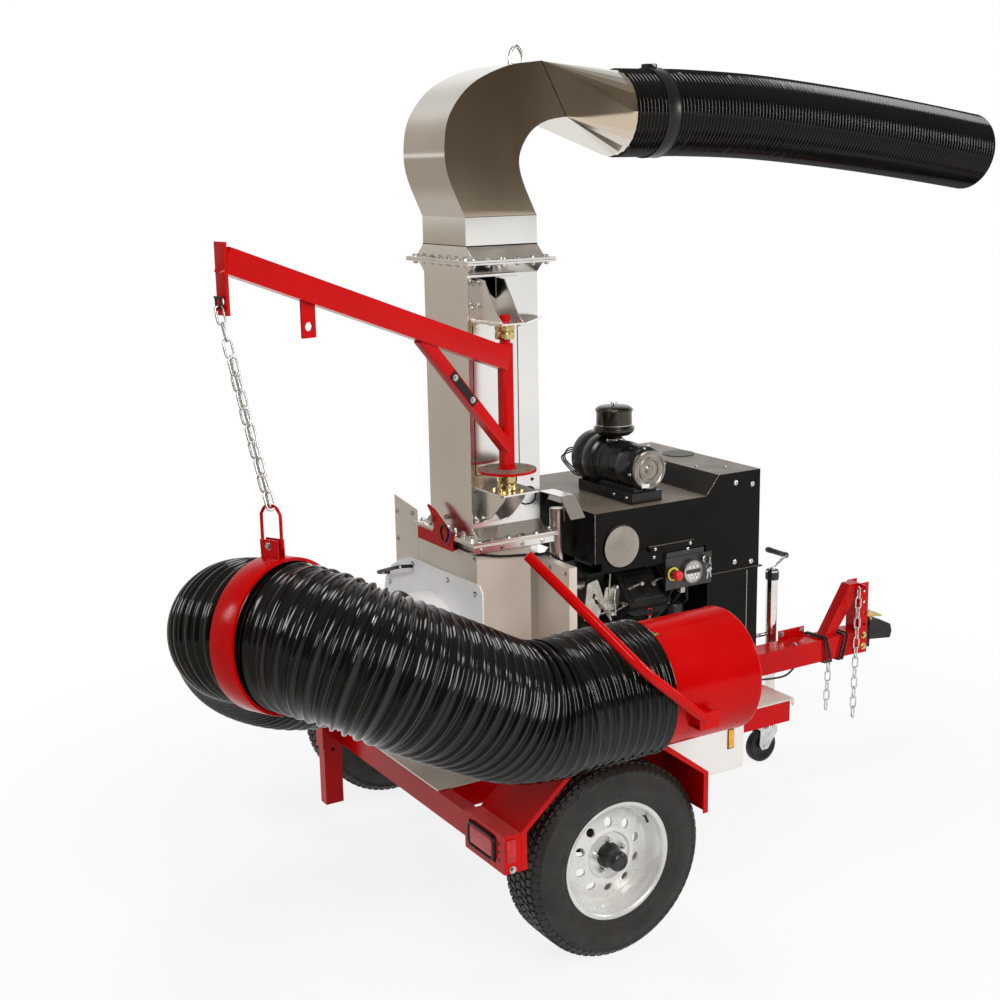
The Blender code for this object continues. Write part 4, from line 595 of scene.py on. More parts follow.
tyre_rubber = finish("tyre_rubber", (0.009, 0.0065, 0.0045), (0.017, 0.013, 0.009), (0.5, 0.68), patch=9.0,
    grain=420.0, bump=0.22)
TYRE = [(0.1935, 0.0785), (0.205, 0.0835), (0.2085, 0.088), (0.211, 0.0885), (0.2135, 0.0878), (0.225, 0.093),
    (0.23, 0.095), (0.2315, 0.0962), (0.2335, 0.0962), (0.235, 0.0956), (0.248, 0.0998), (0.266, 0.102),
    (0.284, 0.1005), (0.3, 0.0972), (0.308, 0.0955), (0.3095, 0.0962), (0.312, 0.0958), (0.318, 0.0925),
    (0.329, 0.086), (0.3345, 0.076), (0.3365, 0.05), (0.337, 0.0)]
for name, middle in HUBS.items():
    parts = [turned_about(TYRE + [(r, -a) for r, a in reversed(TYRE[:-1])], middle, (0, 1, 0), 120)]
    for across, shear, width, length, height, start in ((0.0, 0.35, 0.026, 0.024, 0.0068, 0.0),
            (0.0315, -0.35, 0.026, 0.023, 0.0066, 0.5), (-0.0315, -0.35, 0.026, 0.023, 0.0066, 0.3),
            (0.0625, 0.25, 0.024, 0.023, 0.0056, 0.1), (-0.0625, 0.25, 0.024, 0.023, 0.0056, 0.8)):
        form = tread_block(width, length, height, shear)
        parts.append(tread_row(middle, form, 0.3366, across, start, 0.0, 1))
    for hand in (-1, 1):
        form = tread_block(0.03, 0.0215, 0.0052)
        parts.append(tread_row(middle, form, 0.3235, hand * 0.0845, 0.5 * (hand > 0), hand * 1.05, hand))
    piece(f"tyre_{name}_tread", parts, tyre_rubber, (f"tyre_{name}",), body=f"wheel_{name}", angle=40)


# Hubs: black cast hubs with five studs and chromed nuts, and a pressed dust cap.

cast_black = finish("cast_black", (0.012, 0.012, 0.012), (0.03, 0.028, 0.026), (0.3, 0.5), metallic=0.3, patch=24.0,
    grain=140.0, bump=0.3)
bright_steel = finish("bright_steel", (0.5, 0.5, 0.49), (0.7, 0.69, 0.67), (0.16, 0.3), metallic=1.0, patch=30.0,
    bump=0.05, slot="zinc")


def wheel_nut():
    """A cone-seated hexagon nut with the end of its stud showing."""
    nut = turned_about([(0.0, -0.006), (0.0075, -0.006), (0.0098, 0.0), (0.0098, 0.0135), (0.008, 0.0155),
        (0.0, 0.0155)], sides=6)
    stud = turned_about([(0.0, 0.0), (0.0058, 0.0), (0.0058, 0.0215), (0.0048, 0.023), (0.0, 0.023)], sides=14)
    return joined(nut, stud)


barrel = [(0.0, -0.07), (0.048, -0.07), (0.052, -0.04), (0.066, -0.01), (0.066, 0.019), (0.0435, 0.019),
    (0.0435, 0.04), (0.04, 0.048), (0.0355, 0.06), (0.0345, 0.066), (0.0, 0.066)]
cap = [(0.0, 0.064), (0.0345, 0.064), (0.0345, 0.094), (0.0325, 0.0985), (0.027, 0.104), (0.019, 0.1065),
    (0.0185, 0.1045), (0.0, 0.1045)]
for name, side in WHEELS.items():
    outward = Vector((0, side, 0))
    piece(f"hub_{name}_cast", [turned_about(barrel, HUBS[name], outward, 40)], cast_black, (f"hub_{name}",),
        body=f"wheel_{name}")
    piece(f"dust_cap_{name}", [turned_about(cap, HUBS[name], outward, 40)], black_plastic, body=f"wheel_{name}")
    nuts = [(place + outward * 0.027, outward, 0.4 * k)
        for k, place in enumerate(round_places(HUBS[name], *STUD_CIRCLE))]
    repeated(f"wheel_nuts_{name}", wheel_nut(), nuts, bright_steel, body=f"wheel_{name}")


# Fenders: folded red sheet over each wheel, with a welded box for the tail lamp behind, a
# red side reflector let into the box's outer face, and a lug bolt below it.

def block(centre, size, turn=None):
    """A box of this size about its centre, turned if a turn is given."""
    work = bmesh.new()
    bmesh.ops.create_cube(work, size=1.0)
    place = Matrix.Translation(centre)
    if turn is not None:
        place = place @ turn.to_4x4()
    bmesh.ops.transform(work, matrix=place @ Matrix.Diagonal((*size, 1.0)), verts=work.verts)
    return work


def span(low, high):
    """A block between two opposite corners."""
    low, high = Vector(low), Vector(high)
    return block((low + high) / 2, high - low)


def bolt(radius=0.008, height=0.006, washer=1.6):
    """A hexagon head on a round washer, pointing along +Z from the face that it clamps."""
    head = turned_about([(0.0, 0.0), (radius, 0.0), (radius, height * 0.8), (radius * 0.84, height), (0.0, height)],
        (0, 0, 0.001), sides=6)
    ring = turned_about([(0.0, -0.0005), (radius * washer, -0.0005), (radius * washer, 0.001), (0.0, 0.0012)],
        sides=20)
    return joined(head, ring)


lens_red = finish("lens_red", (0.42, 0.002, 0.004), (0.62, 0.006, 0.012), (0.08, 0.14), patch=60.0, bump=0.25,
    grain=160.0, depth=0.001)
LAMP_Z = 0.507
for name, side in WHEELS.items():
    skin(f"fender_{name}", red_coat, 0.0015)
    edge = side * 0.95
    reflector = span(at(-0.462, edge - side * 0.003, 0.478), at(-0.428, edge + side * 0.0022, 0.556))
    piece(f"side_reflector_{name}", [reflector], lens_red, slot="red_lens", edge=0.0012)
    lug = copies(bolt(0.0075, 0.006), [(at(-0.44, edge + side * 0.0004, 0.452), (0, side, 0), 0.3)], bright_steel)
    piece(f"lug_bolt_{name}", [lug], bright_steel)


# Tail lamps: a red oblong lens with rows of small round facets, held in a thick rubber
# grommet with rounded corners, and three small rubber plugs in the box beside it.

LAMP_CORNER = 0.024
LAMP_SPAN = (0.0597, 0.0207)


def rounded_frame(centre, sections):
    """Rings of the lamp's rounded oblong, each section (grow, out), joined into one closed skin."""
    work = bmesh.new()
    rings = []
    for grow, out in sections:
        ring = []
        reach = max(LAMP_CORNER + grow, 0.0005)
        for quarter in range(4):
            middle = centre + Vector((-out, LAMP_SPAN[0] * (1 if quarter in (0, 3) else -1),
                LAMP_SPAN[1] * (1 if quarter in (0, 1) else -1)))
            for step in range(7):
                angle = math.pi / 2 * (quarter + step / 6)
                ring.append(work.verts.new(middle + Vector((0, math.cos(angle) * reach, math.sin(angle) * reach))))
        rings.append(ring)
    strip(work, rings)
    work.faces.new(rings[0])
    work.faces.new(rings[-1])
    bmesh.ops.remove_doubles(work, verts=work.verts, dist=1e-6)
    bmesh.ops.recalc_face_normals(work, faces=work.faces)
    return work


def net_of_cells(tree, scale):
    """Distance from the middle of the nearest cell of an even net."""
    cells = added(tree, "TexVoronoi", {"Scale": scale, "Randomness": 0.0})
    link(tree, added(tree, "TexCoord").outputs["Object"], cells.inputs["Vector"])
    return cells.outputs["Distance"]


def lens_finish():
    """Red moulded plastic with a raised net of round facets."""
    paint = finish("lamp_lens", (0.5, 0.004, 0.012), (0.66, 0.016, 0.03), (0.06, 0.12), patch=30.0, bump=0.0)
    tree = paint.node_tree
    bumped(tree, tree.nodes["Principled BSDF"], net_of_cells(tree, 95.0), 0.6, 0.0025)
    return paint


lamp_lens = lens_finish()
rubber = finish("rubber", (0.006, 0.006, 0.006), (0.011, 0.011, 0.01), (0.34, 0.46), patch=14.0, bump=0.12,
    specular=0.3, slot="rubber")
for name, side in WHEELS.items():
    back = at(-0.47, side * 0.812, LAMP_Z)
    grommet = rounded_frame(back, [(-0.004, 0.0002), (0.0, 0.001), (0.0, 0.007), (-0.0025, 0.0098), (-0.0075, 0.01),
        (-0.0105, 0.008), (-0.011, 0.005), (-0.013, 0.0045)])
    lens = rounded_frame(back, [(-0.01, 0.0035), (-0.0112, 0.005), (-0.0122, 0.0066), (-0.015, 0.0078),
        (-0.02, 0.0084)])
    piece(f"lamp_grommet_{name}", [grommet], rubber, angle=50)
    piece(f"lamp_lens_{name}", [lens], lamp_lens, (f"tail_lamp_{name}",), angle=50)
    dots = [(at(-0.4702, side * 0.9155, z), (-1, 0, 0), 0.0) for z in (0.48, 0.507, 0.534)]
    plug = turned_about([(0.0, -0.001), (0.0052, -0.001), (0.0052, 0.0008), (0.0038, 0.0016), (0.0, 0.001)], sides=16)
    repeated(f"drain_plugs_{name}", plug, dots, rubber)


# Tongue: a square red tube with a braced post of hitch holes in front, welded up and
# painted. Gold bolts fix the coupler, and two pale bolts hold the jack's plate.

skin("tongue_frame", red_coat, 0.0022)
yellow_zinc = finish("yellow_zinc", (0.5, 0.37, 0.13), (0.66, 0.53, 0.27), (0.18, 0.32), metallic=1.0, patch=60.0,
    bump=0.05, slot="yellow_zinc")
hitch_bolts = [(at(1.9616, side * 0.0404, 0.4964 + 0.051 * k), (0, side, 0), 0.5 * k) for side in (-1, 1)
    for k in (0, 1)]
repeated("hitch_bolts", bolt(0.0115, 0.0095, 1.35), hitch_bolts, yellow_zinc)
jack_bolts = [(at(x, 0.0418, 0.602), (0, -1, 0), x) for x in (1.552, 1.668)]
jack_bolts += [(at(1.56, -0.034, 0.5746), (0, 0, 1), 0.2)]
repeated("jack_bolts", bolt(0.0085, 0.007), jack_bolts, bright_steel)


# Coupler: rough black cast iron with a ball socket below. Its latch is a bent gold plate
# on a cross pin, and pulls up to let go of the ball.

coupler_back = 1.9383
cast_iron = finish("cast_iron", (0.004, 0.004, 0.004), (0.013, 0.012, 0.011), (0.36, 0.55), patch=30.0, grain=90.0,
    bump=0.55, depth=0.0012, specular=0.35)
skin("coupler_body", cast_iron, 0.0035, 3)
skin("coupler_latch", yellow_zinc, 0.0015)
piece("latch_pin", [pin(at(coupler_back + 0.064, -0.041, 0.619), at(coupler_back + 0.064, 0.041, 0.619), 0.0058)],
    yellow_zinc)


# Jack: a swivelling chromed tube jack with a crank and a black cap, a caster wheel below,
# and a spring pull pin on a short chain that locks it upright.

def travel(points):
    """Place, direction and two cross directions, carried along the points without twist."""
    out = []
    side = None
    for i, point in enumerate(points):
        along = (points[min(i + 1, len(points) - 1)] - points[max(i - 1, 0)]).normalized()
        if side is None:
            side = along.cross(Vector((0, 0, 1)))
            if side.length < 0.1:
                side = along.cross(Vector((0, 1, 0)))
        side = (side - along * side.dot(along)).normalized()
        out.append((point, along, side, along.cross(side)))
    return out


def round_ring(work, row, radius, sides):
    """A ring of points round one row of travel."""
    point, _, side, over = row
    return [work.verts.new(point + (side * math.cos(math.tau * k / sides) + over * math.sin(math.tau * k / sides))
        * radius) for k in range(sides)]


def rod(points, radii, sides=14, closed=False):
    """A bent bar or wire through the points, with one radius or a radius for each."""
    if not isinstance(radii, (list, tuple)):
        radii = [radii] * len(points)
    work = bmesh.new()
    rings = [round_ring(work, row, radius, sides) for row, radius in zip(travel(points), radii)]
    strip(work, rings + rings[:1] if closed else rings)
    if not closed:
        work.faces.new(rings[0])
        work.faces.new(rings[-1])
    bmesh.ops.recalc_face_normals(work, faces=work.faces)
    return work


galvanised = finish("galvanised", (0.56, 0.56, 0.55), (0.74, 0.74, 0.73), (0.22, 0.4), metallic=1.0, patch=40.0)
chrome = finish("chrome", (0.7, 0.68, 0.64), (0.8, 0.78, 0.75), (0.07, 0.15), metallic=1.0, patch=20.0, bump=0.02)
JACK = (1.555, 0.116)
skin("jack_tube", chrome, 0.0012)
skin("jack_leg", chrome, 0.0008)
jack_cap = turned_about([(0.0255, -0.012), (0.029, -0.012), (0.03, -0.004), (0.03, 0.0225), (0.0265, 0.03),
    (0.0, 0.0312), (0.0, 0.029), (0.0245, 0.027)], at(*JACK, 0.849), (0, 0, 1), 32)
piece("jack_cap", [jack_cap], black_plastic, body="jack")
crank_rod = [at(JACK[0], JACK[1], 0.879), at(JACK[0] + 0.004, JACK[1], 0.888), at(1.564, JACK[1], 0.8905),
    at(1.62, JACK[1], 0.9245), at(1.632, JACK[1], 0.9305), at(1.6345, JACK[1] + 0.006, 0.9315),
    at(1.635, JACK[1] + 0.118, 0.9315)]
grip = turned_about([(0.0, 0.0), (0.0105, 0.0), (0.013, 0.003), (0.013, 0.016), (0.012, 0.018), (0.012, 0.1),
    (0.013, 0.103), (0.013, 0.126), (0.0095, 0.133), (0.0, 0.1335)], at(1.6345, JACK[1] - 0.004, 0.9312), (0, 1, 0),
    28)
collar = turned_about([(0.0, 0.0), (0.0155, 0.0), (0.0155, 0.0085), (0.012, 0.01), (0.0, 0.01)], at(*JACK, 0.8782),
    (0, 0, 1), 28)
piece("crank_rod", [rod(crank_rod, 0.0062, 16), collar], bright_steel, ("jack_crank",), body="crank", angle=50)
piece("crank_grip", [grip], black_plastic, body="crank")
skin("caster_fork", galvanised, 0.0012)
roller_middle = at(1.51, JACK[1], 0.075)
roller = turned_about(eased([(0.0745, 0.006), (0.0735, 0.0155), (0.06, 0.019), (0.052, 0.0165), (0.034, 0.012),
    (0.022, 0.0145), (0.015, 0.0185), (0.007, 0.0185), (0.007, -0.0185), (0.015, -0.0185), (0.022, -0.0145),
    (0.034, -0.012), (0.052, -0.0165), (0.06, -0.019), (0.0735, -0.0155), (0.0745, -0.006)], 0.002), roller_middle,
    (0, 1, 0), 56)
piece("caster_roller", [roller], rubber, ("caster_wheel",), body="roller", angle=40)
axle_bolt = [(roller_middle + Vector((0, side * 0.0262, 0)), (0, side, 0), 0.2) for side in (-1, 1)]
repeated("caster_bolt", bolt(0.0085, 0.0065, 1.3), axle_bolt, bright_steel, body="caster")


# Pull pin: the ring and pin of the jack's spring pull pin, whose short bright chain hangs slack to the plate; the
# helpers here lay out the chains below.

def evenly(points, count):
    """Points at even distances along the run."""
    lengths = [0.0]
    for a, b in zip(points, points[1:]):
        lengths.append(lengths[-1] + (b - a).length)
    out = []
    k = 0
    for index in range(count):
        goal = lengths[-1] * index / (count - 1)
        while k < len(points) - 2 and lengths[k + 1] < goal:
            k += 1
        out.append(points[k].lerp(points[k + 1], (goal - lengths[k]) / max(lengths[k + 1] - lengths[k], 1e-9)))
    return out


def hang(start, end, sag, count):
    """Points along a slack run from start to end, at even distances."""
    fine = [Vector(start).lerp(Vector(end), k / 40) - Vector((0, 0, sag * 4 * k / 40 * (1 - k / 40)))
        for k in range(41)]
    return evenly(fine, count)


def chain(points):
    """Welded links of 7 mm wire along the points, each quarter-turned and bearing on the next."""
    wire, half = 0.0036, 0.012
    reach = (points[1] - points[0]).length / 2 + 0.8 * wire
    round_end = [(math.cos(math.pi * k / 8) * half, reach - half + math.sin(math.pi * k / 8) * half)
        for k in range(9)]
    loop = [Vector((hand * a, 0, hand * b)) for hand in (1, -1) for a, b in round_end]
    places = [((a + b) / 2, b - a, (k % 2) * math.pi / 2 + 0.35) for k, (a, b) in enumerate(zip(points, points[1:]))]
    return copies(rod(loop, wire, 10, closed=True), places, galvanised)


pull = rod([at(1.474, JACK[1], 0.59), at(1.462, JACK[1], 0.59), at(1.452, JACK[1], 0.594), at(1.446, JACK[1], 0.602),
    at(1.452, JACK[1], 0.61), at(1.462, JACK[1], 0.611), at(1.47, JACK[1], 0.604), at(1.47, JACK[1], 0.596)], 0.0028,
    10)
piece("pull_ring", [pull, pin(at(1.468, JACK[1], 0.59), at(1.532, JACK[1], 0.59), 0.0088)], bright_steel, body="jack",
    angle=50)


# Safety chains: galvanised welded chain, one from a shackle at the top of the hitch post
# and one from under the tongue, each hanging doubled.

for name, y, x, high, count in (("right", -0.068, 1.895, 0.785, 14), ("left", 0.068, 1.862, 0.5, 8)):
    run = evenly([at(x, y, high), at(x - 0.012, y, 0.186)], count)
    piece(f"safety_chain_{name}_links", [chain(run)], galvanised, (f"safety_chain_{name}",), angle=60)


# Wiring lead: black trailer lead that comes out of the frame, sags under the tongue and is
# wound round it four times. Its plug is tucked under the tongue and held by a thin tie.

def smooth_path(points, ends=None, steps=8):
    """Points along a soft curve through the given ones; ends are the directions at both ends."""
    points = [Vector(p) for p in points]
    slopes = []
    for i in range(len(points)):
        before, after = points[max(i - 1, 0)], points[min(i + 1, len(points) - 1)]
        slopes.append((after - before) / (1 if i in (0, len(points) - 1) else 2))
    if ends:
        slopes[0] = Vector(ends[0]).normalized() * slopes[0].length
        slopes[-1] = Vector(ends[1]).normalized() * slopes[-1].length
    out = []
    for a, b, sa, sb in zip(points, points[1:], slopes, slopes[1:]):
        for k in range(steps):
            t = k / steps
            out.append(a * (2 * t**3 - 3 * t**2 + 1) + sa * (t**3 - 2 * t**2 + t) + b * (-2 * t**3 + 3 * t**2)
                + sb * (t**3 - t**2))
    out.append(points[-1])
    return out


def run_length(points):
    """Length of a run of points."""
    return sum((b - a).length for a, b in zip(points, points[1:]))


lead_black = finish("lead_black", (0.006, 0.006, 0.006), (0.012, 0.012, 0.012), (0.22, 0.34), patch=20.0, bump=0.05,
    specular=0.35)
LEAD_R = 0.0045
TONGUE_LOW, TONGUE_HIGH, TONGUE_HALF = 0.4744, 0.5744, 0.05
LEAD_BEND = 0.0182
LEAD_INSET = (LEAD_BEND - LEAD_R - 0.0007) / math.sqrt(2)
lead_points = [at(1.287, -0.03, 0.457), at(1.343, -0.03, 0.455), at(1.44, -0.03, 0.443), at(1.518, -0.03, 0.443),
    at(1.6, 0.006, 0.455)]
corners = ((1, TONGUE_LOW + LEAD_INSET, 270, 360), (1, TONGUE_HIGH - LEAD_INSET, 0, 90),
    (-1, TONGUE_HIGH - LEAD_INSET, 90, 180), (-1, TONGUE_LOW + LEAD_INSET, 180, 270))
for loop in ((1.672, 1.691, 1.708, 1.722), (1.7, 1.706, 1.722, 1.752), (1.745, 1.812, 1.818, 1.8),
        (1.785, 1.836, 1.842, 1.822)):
    for x, (hand, z, low, high) in zip(loop, corners):
        for step in range(3):
            angle = math.radians(low + (high - low) * (step + 0.5) / 3)
            lead_points.append(at(x + 0.002 * step, hand * (TONGUE_HALF - LEAD_INSET) + LEAD_BEND * math.cos(angle),
                z + LEAD_BEND * math.sin(angle)))
lead_route = smooth_path(lead_points, ((1, 0, -0.05), (0, 1, 0.1)), 4)
lead = piece("wiring_lead", [rod(lead_route, LEAD_R, 12)], lead_black, ("wiring_harness",), angle=60)
lead_end = lead_route[-1]
plug_form = turned_about([(0.0, -0.004), (0.0062, -0.004), (0.0066, 0.002), (0.0072, 0.006), (0.0072, 0.012),
    (0.0064, 0.014), (0.0072, 0.016), (0.0072, 0.03), (0.006, 0.033), (0.0, 0.033)], lead_end, (0, 1, 0.02), 20)
plug = piece("lead_plug", [plug_form], black_plastic, slot="rubber", angle=40)
tie_x = lead_end.x - DATUM.x
tie_out, tie_z = 0.0508, (TONGUE_LOW - 0.0165, TONGUE_HIGH + 0.001)
tie_ring = [at(tie_x, a, b) for a, b in ((-tie_out, tie_z[1] - 0.004), (-tie_out + 0.004, tie_z[1]),
    (tie_out - 0.004, tie_z[1]), (tie_out, tie_z[1] - 0.004), (tie_out, TONGUE_LOW), (tie_out - 0.03, tie_z[0]),
    (-tie_out + 0.03, tie_z[0]), (-tie_out, TONGUE_LOW))]
piece("lead_tie", [rod(tie_ring, 0.0014, 8, closed=True)], black_plastic, angle=50)
piece("lead_gland", [turned_about([(0.0052, -0.004), (0.01, -0.004), (0.01, 0.004), (0.0066, 0.024), (0.0049, 0.026)],
    lead_route[0], (1, 0, -0.05), 20)], black_plastic, slot="rubber", angle=50)


# Fuel tank: white box with a black screw cap, hung beside the frame, with an amber side
# marker lamp on its outer face.

white_coat = finish("white_coat", (0.76, 0.74, 0.7), (0.82, 0.8, 0.77), (0.28, 0.4), bump=0.05)
skin("fuel_tank", white_coat, 0.006, 3)
tank_cap = turned_about(eased([(0.0, 0.0), (0.04, 0.0), (0.04, 0.026), (0.03, 0.028), (0.0, 0.028)], 0.003),
    at(0.48, -0.45, 0.6402), (0, 0, 1), 40)
piece("tank_cap", [tank_cap], black_plastic, angle=40)
amber = finish("amber_lens", (0.8, 0.3, 0.01), (0.92, 0.42, 0.02), (0.08, 0.15), patch=80.0, bump=0.3, grain=160.0,
    depth=0.001)
marker = [span(at(0.752, -0.5625, 0.455), at(0.783, -0.5598, 0.535))]
piece("side_marker", [span(at(0.7555, -0.5655, 0.459), at(0.7795, -0.5622, 0.531))], amber, slot="red_lens",
    edge=0.0015)
piece("marker_base", marker, black_plastic, edge=0.001)


# Drop leg: a red square post in the frame's sleeve, held by a bright pin through its holes.

skin("drop_leg", red_coat, 0.002)


# Blower housing: bare stainless sheet, a scroll with a straight neck and a tall rear plate.
# Its seams are folded and bolted, and both faces show soft rolling marks.

def sheet_finish(name, lit_side_tone, shaded_end_tone, rough=(0.16, 0.24), metallic=1.0):
    """Bare stainless: faces turned to the sides get a brighter tone than the faces turned from them, painted light
    and shade by facing.
    """
    metal, tree, shader = new_paint(name, {"Metallic": metallic, "Anisotropic": 0.25})
    # Painted light and shade: the tone follows which way each face turns.
    facing = computed(tree, "ABSOLUTE", axes(tree, "NewGeometry", "Normal")["Y"])
    shade = added(tree, "VectorMath", operation="SCALE")
    link(tree, two_tone(tree, stepped(tree, facing, 0.35, 0.9), shaded_end_tone, lit_side_tone), shade.inputs[0])
    link(tree, spread(tree, noise(tree, 1.7, 4.0), 0.9, 1.0), shade.inputs["Scale"])
    link(tree, shade.outputs["Vector"], shader.inputs["Base Color"])
    link(tree, spread(tree, noise(tree, 2.3, 3.0, (1.0, 1.0, 0.3)), *rough), shader.inputs["Roughness"])
    bumped(tree, shader, noise(tree, 150.0, 2.0, (1.0, 1.0, 0.03)), 0.06, 0.0002)
    FINISH_SLOTS[metal.name] = "stainless"
    return metal


stainless = sheet_finish("stainless", (0.86, 0.84, 0.81), (0.88, 0.85, 0.81))
# Housing sheet: its ends are a darker tan than its sides, which is painted shade.
housing_sheet = sheet_finish("housing_sheet", (0.9, 0.83, 0.72), (0.74, 0.68, 0.6), (0.38, 0.48), 0.5)
skin("blower_housing", housing_sheet, 0.0012)
SCROLL = (0.13, 0.85, 0.316)
seam_bolts = [(at(0.1502, SCROLL[0] - SCROLL[2] + 0.018, z), (1, 0, 0), z * 9) for z in (0.9, 1.02, 1.14, 1.25)]
seam_bolts += [(at(-0.1092, y, z), (-1, 0, 0), y * 9) for y, z in ((-0.17, 1.245), (-0.17, 0.56), (0.425, 1.31),
    (0.425, 1.2), (0.3, 1.325))]
repeated("housing_bolts", bolt(0.0075, 0.0055), seam_bolts, bright_steel)
seam = [span(at(-0.1096, 0.2555, 0.905), at(-0.1088, 0.2585, 1.285)),
    span(at(0.1185, SCROLL[0] - SCROLL[2] - 0.003, 0.86), at(0.15, SCROLL[0] - SCROLL[2] - 0.0002, 1.276))]
piece("housing_seams", seam, stainless, edge=0.0005)


# Bulkhead: folded stainless panel with returned edges between the blower and the engine.

skin("bulkhead", housing_sheet, 0.0018)
edge_bolts = [(at(0.1499, y, 1.196), (-1, 0, 0), y * 7) for y in (-0.37, -0.27)]
repeated("bulkhead_bolts", bolt(0.0065, 0.005), edge_bolts, bright_steel)


# Inlet door: white painted plate with the round collar of the intake hose, a bent handle,
# and a row of curved slots that let it be turned on its bolts.

# Whiter than the tank's white to make up for the weak light on this rear-facing door: partly painted light.
door_white_lit = finish("door_white_lit", (0.93, 0.92, 0.91), (0.97, 0.965, 0.96), (0.26, 0.38), bump=0.05)
skin("inlet_door", door_white_lit, 0.0012)
door_grip = smooth_path([at(-0.1125, 0.5, 1.045), at(-0.16, 0.508, 1.05), at(-0.166, 0.44, 1.075),
    at(-0.166, 0.31, 1.118), at(-0.1125, 0.3, 1.115)], None, 6)
piece("door_grip_sleeve", [rod(door_grip, 0.0072, 14)], black_coat, slot="black_paint", angle=60)


def slot_shade_outline(centre, low, high):
    """A curved slot's outline with rounded ends about its centre, just proud of the door's face; the dark plate drawn
    on it is painted shade for the opening.
    """
    loop = [(0.0162, low + (high - low) * step / 8) for step in range(9)]
    loop += [(0.0118, high + (low - high) * step / 8) for step in range(9)]
    return [at(-0.1157, centre[0] + r * math.cos(math.radians(a)), centre[1] + r * math.sin(math.radians(a)))
        for r, a in loop]


def thin_plate(points, thickness):
    """A flat outline of points made into a thin plate."""
    work = bmesh.new()
    face = work.faces.new([work.verts.new(point) for point in points])
    made = bmesh.ops.extrude_face_region(work, geom=[face])
    moved = [item for item in made["geom"] if isinstance(item, bmesh.types.BMVert)]
    bmesh.ops.translate(work, vec=thickness, verts=moved)
    bmesh.ops.recalc_face_normals(work, faces=work.faces)
    return work


# Near-black for slots and folds, which is painted shade in the openings and creases, and for the hatch's dark joint.
shade_and_joint_black = finish("shade_and_joint_black", (0.004, 0.004, 0.004), (0.01, 0.01, 0.01), (0.6, 0.8), patch=40.0, bump=0.05,
    specular=0.1)
slots = []
slot_nuts = []
for middle, low, high in (((0.5, 1.0), 60, 170), ((0.3, 1.118), 60, 175), ((0.02, 1.118), 60, 175),
        ((-0.185, 1.112), 30, 150), ((-0.195, 0.86), -60, 60), ((0.48, 0.7), 90, 200)):
    slots.append(thin_plate(slot_shade_outline(middle, low, high), Vector((-0.0003, 0, 0))))
    slot_nuts.append((at(-0.1156, *middle), (-1, 0, 0), middle[0] * 8))
# The slots are dark plates on the face: painted shade where the openings are.
piece("door_slots", slots, shade_and_joint_black, slot="white_paint", smooth=False)
repeated("door_nuts", bolt(0.0048, 0.0035, 1.3), slot_nuts, bright_steel)


# Discharge duct: bent stainless sheet from the housing to the elbow, with flared flanges at
# both ends, bolts all along them, and a hatch that shows as a thin line on its near face.

skin("discharge_duct", stainless, 0.0012)
FLANGE_AT = (0.04, 0.18, 0.225)


def flange_places(z, way):
    """Bolt places along all four sides of a flange, turned a little from one to the next."""
    out = []
    mid_x, half_x, half_y = FLANGE_AT
    for side in (-1, 1):
        out += [(at(mid_x - half_x + 0.03 + k * 0.06, side * (half_y - 0.013), z), (0, 0, way), k * 1.3)
            for k in range(6)]
        out += [(at(mid_x + side * (half_x - 0.017), -half_y + 0.045 + k * 0.06, z), (0, 0, way), k * 0.9)
            for k in range(7)]
    return out


flange_bolts = copies(bolt(0.0078, 0.007), flange_places(2.3086, 1) + flange_places(1.3172, 1), bright_steel)
flange_nuts = copies(bolt(0.0078, 0.0085, 1.5), flange_places(2.2918, -1) + flange_places(1.3003, -1), bright_steel)
piece("flange_bolts", [flange_bolts, flange_nuts], bright_steel)
angle_strip = [span(at(-0.138, -0.2245, 1.276), at(0.2, -0.2215, 1.3003)),
    span(at(-0.138, -0.2245, 1.276), at(0.2, -0.1865, 1.2785))]
piece("flange_angle", angle_strip, stainless, edge=0.0006)
angle_bolts = [(at(x, -0.2248, 1.2885), (0, -1, 0), x * 20) for x in (-0.105, -0.02, 0.065, 0.15)]
repeated("angle_bolts", bolt(0.0062, 0.0052), angle_bolts, bright_steel)


def line_loop(corners, half, lift):
    """A thin raised bead along a closed run of points on the near face."""
    return rod([at(x, -0.155 - lift, z) for x, z in corners], half, 8, closed=True)


def rounded_box(x0, x1, z0, z1, radius):
    """The corners of a rounded oblong as (X, Z) points."""
    out = []
    for cx, cz, start in ((x1 - radius, z1 - radius, 0), (x0 + radius, z1 - radius, 90),
            (x0 + radius, z0 + radius, 180), (x1 - radius, z0 + radius, 270)):
        for step in range(6):
            angle = math.radians(start + 18 * step)
            out.append((cx + radius * math.cos(angle), cz + radius * math.sin(angle)))
    return out


hatch = [line_loop(rounded_box(-0.085, 0.098, 1.545, 2.236, 0.012), 0.0016, 0.0003),
    line_loop(rounded_box(0.096, 0.166, 1.415, 1.478, 0.028), 0.003, 0.001)]
piece("hatch_beads", hatch, shade_and_joint_black, slot="black_paint")
hatch_bolts = [(at(x, -0.1552, z), (0, -1, 0), z * 30) for x, z in ((0.131, 1.47), (0.152, 1.505), (0.152, 1.54))]
repeated("hatch_bolts", bolt(0.005, 0.0045, 1.3), hatch_bolts, black_plastic)


# Boom brackets and bearings: stainless plates with two gussets each, bolted to the duct,
# and turned flange bearings in yellow zinc that the boom's post turns in.

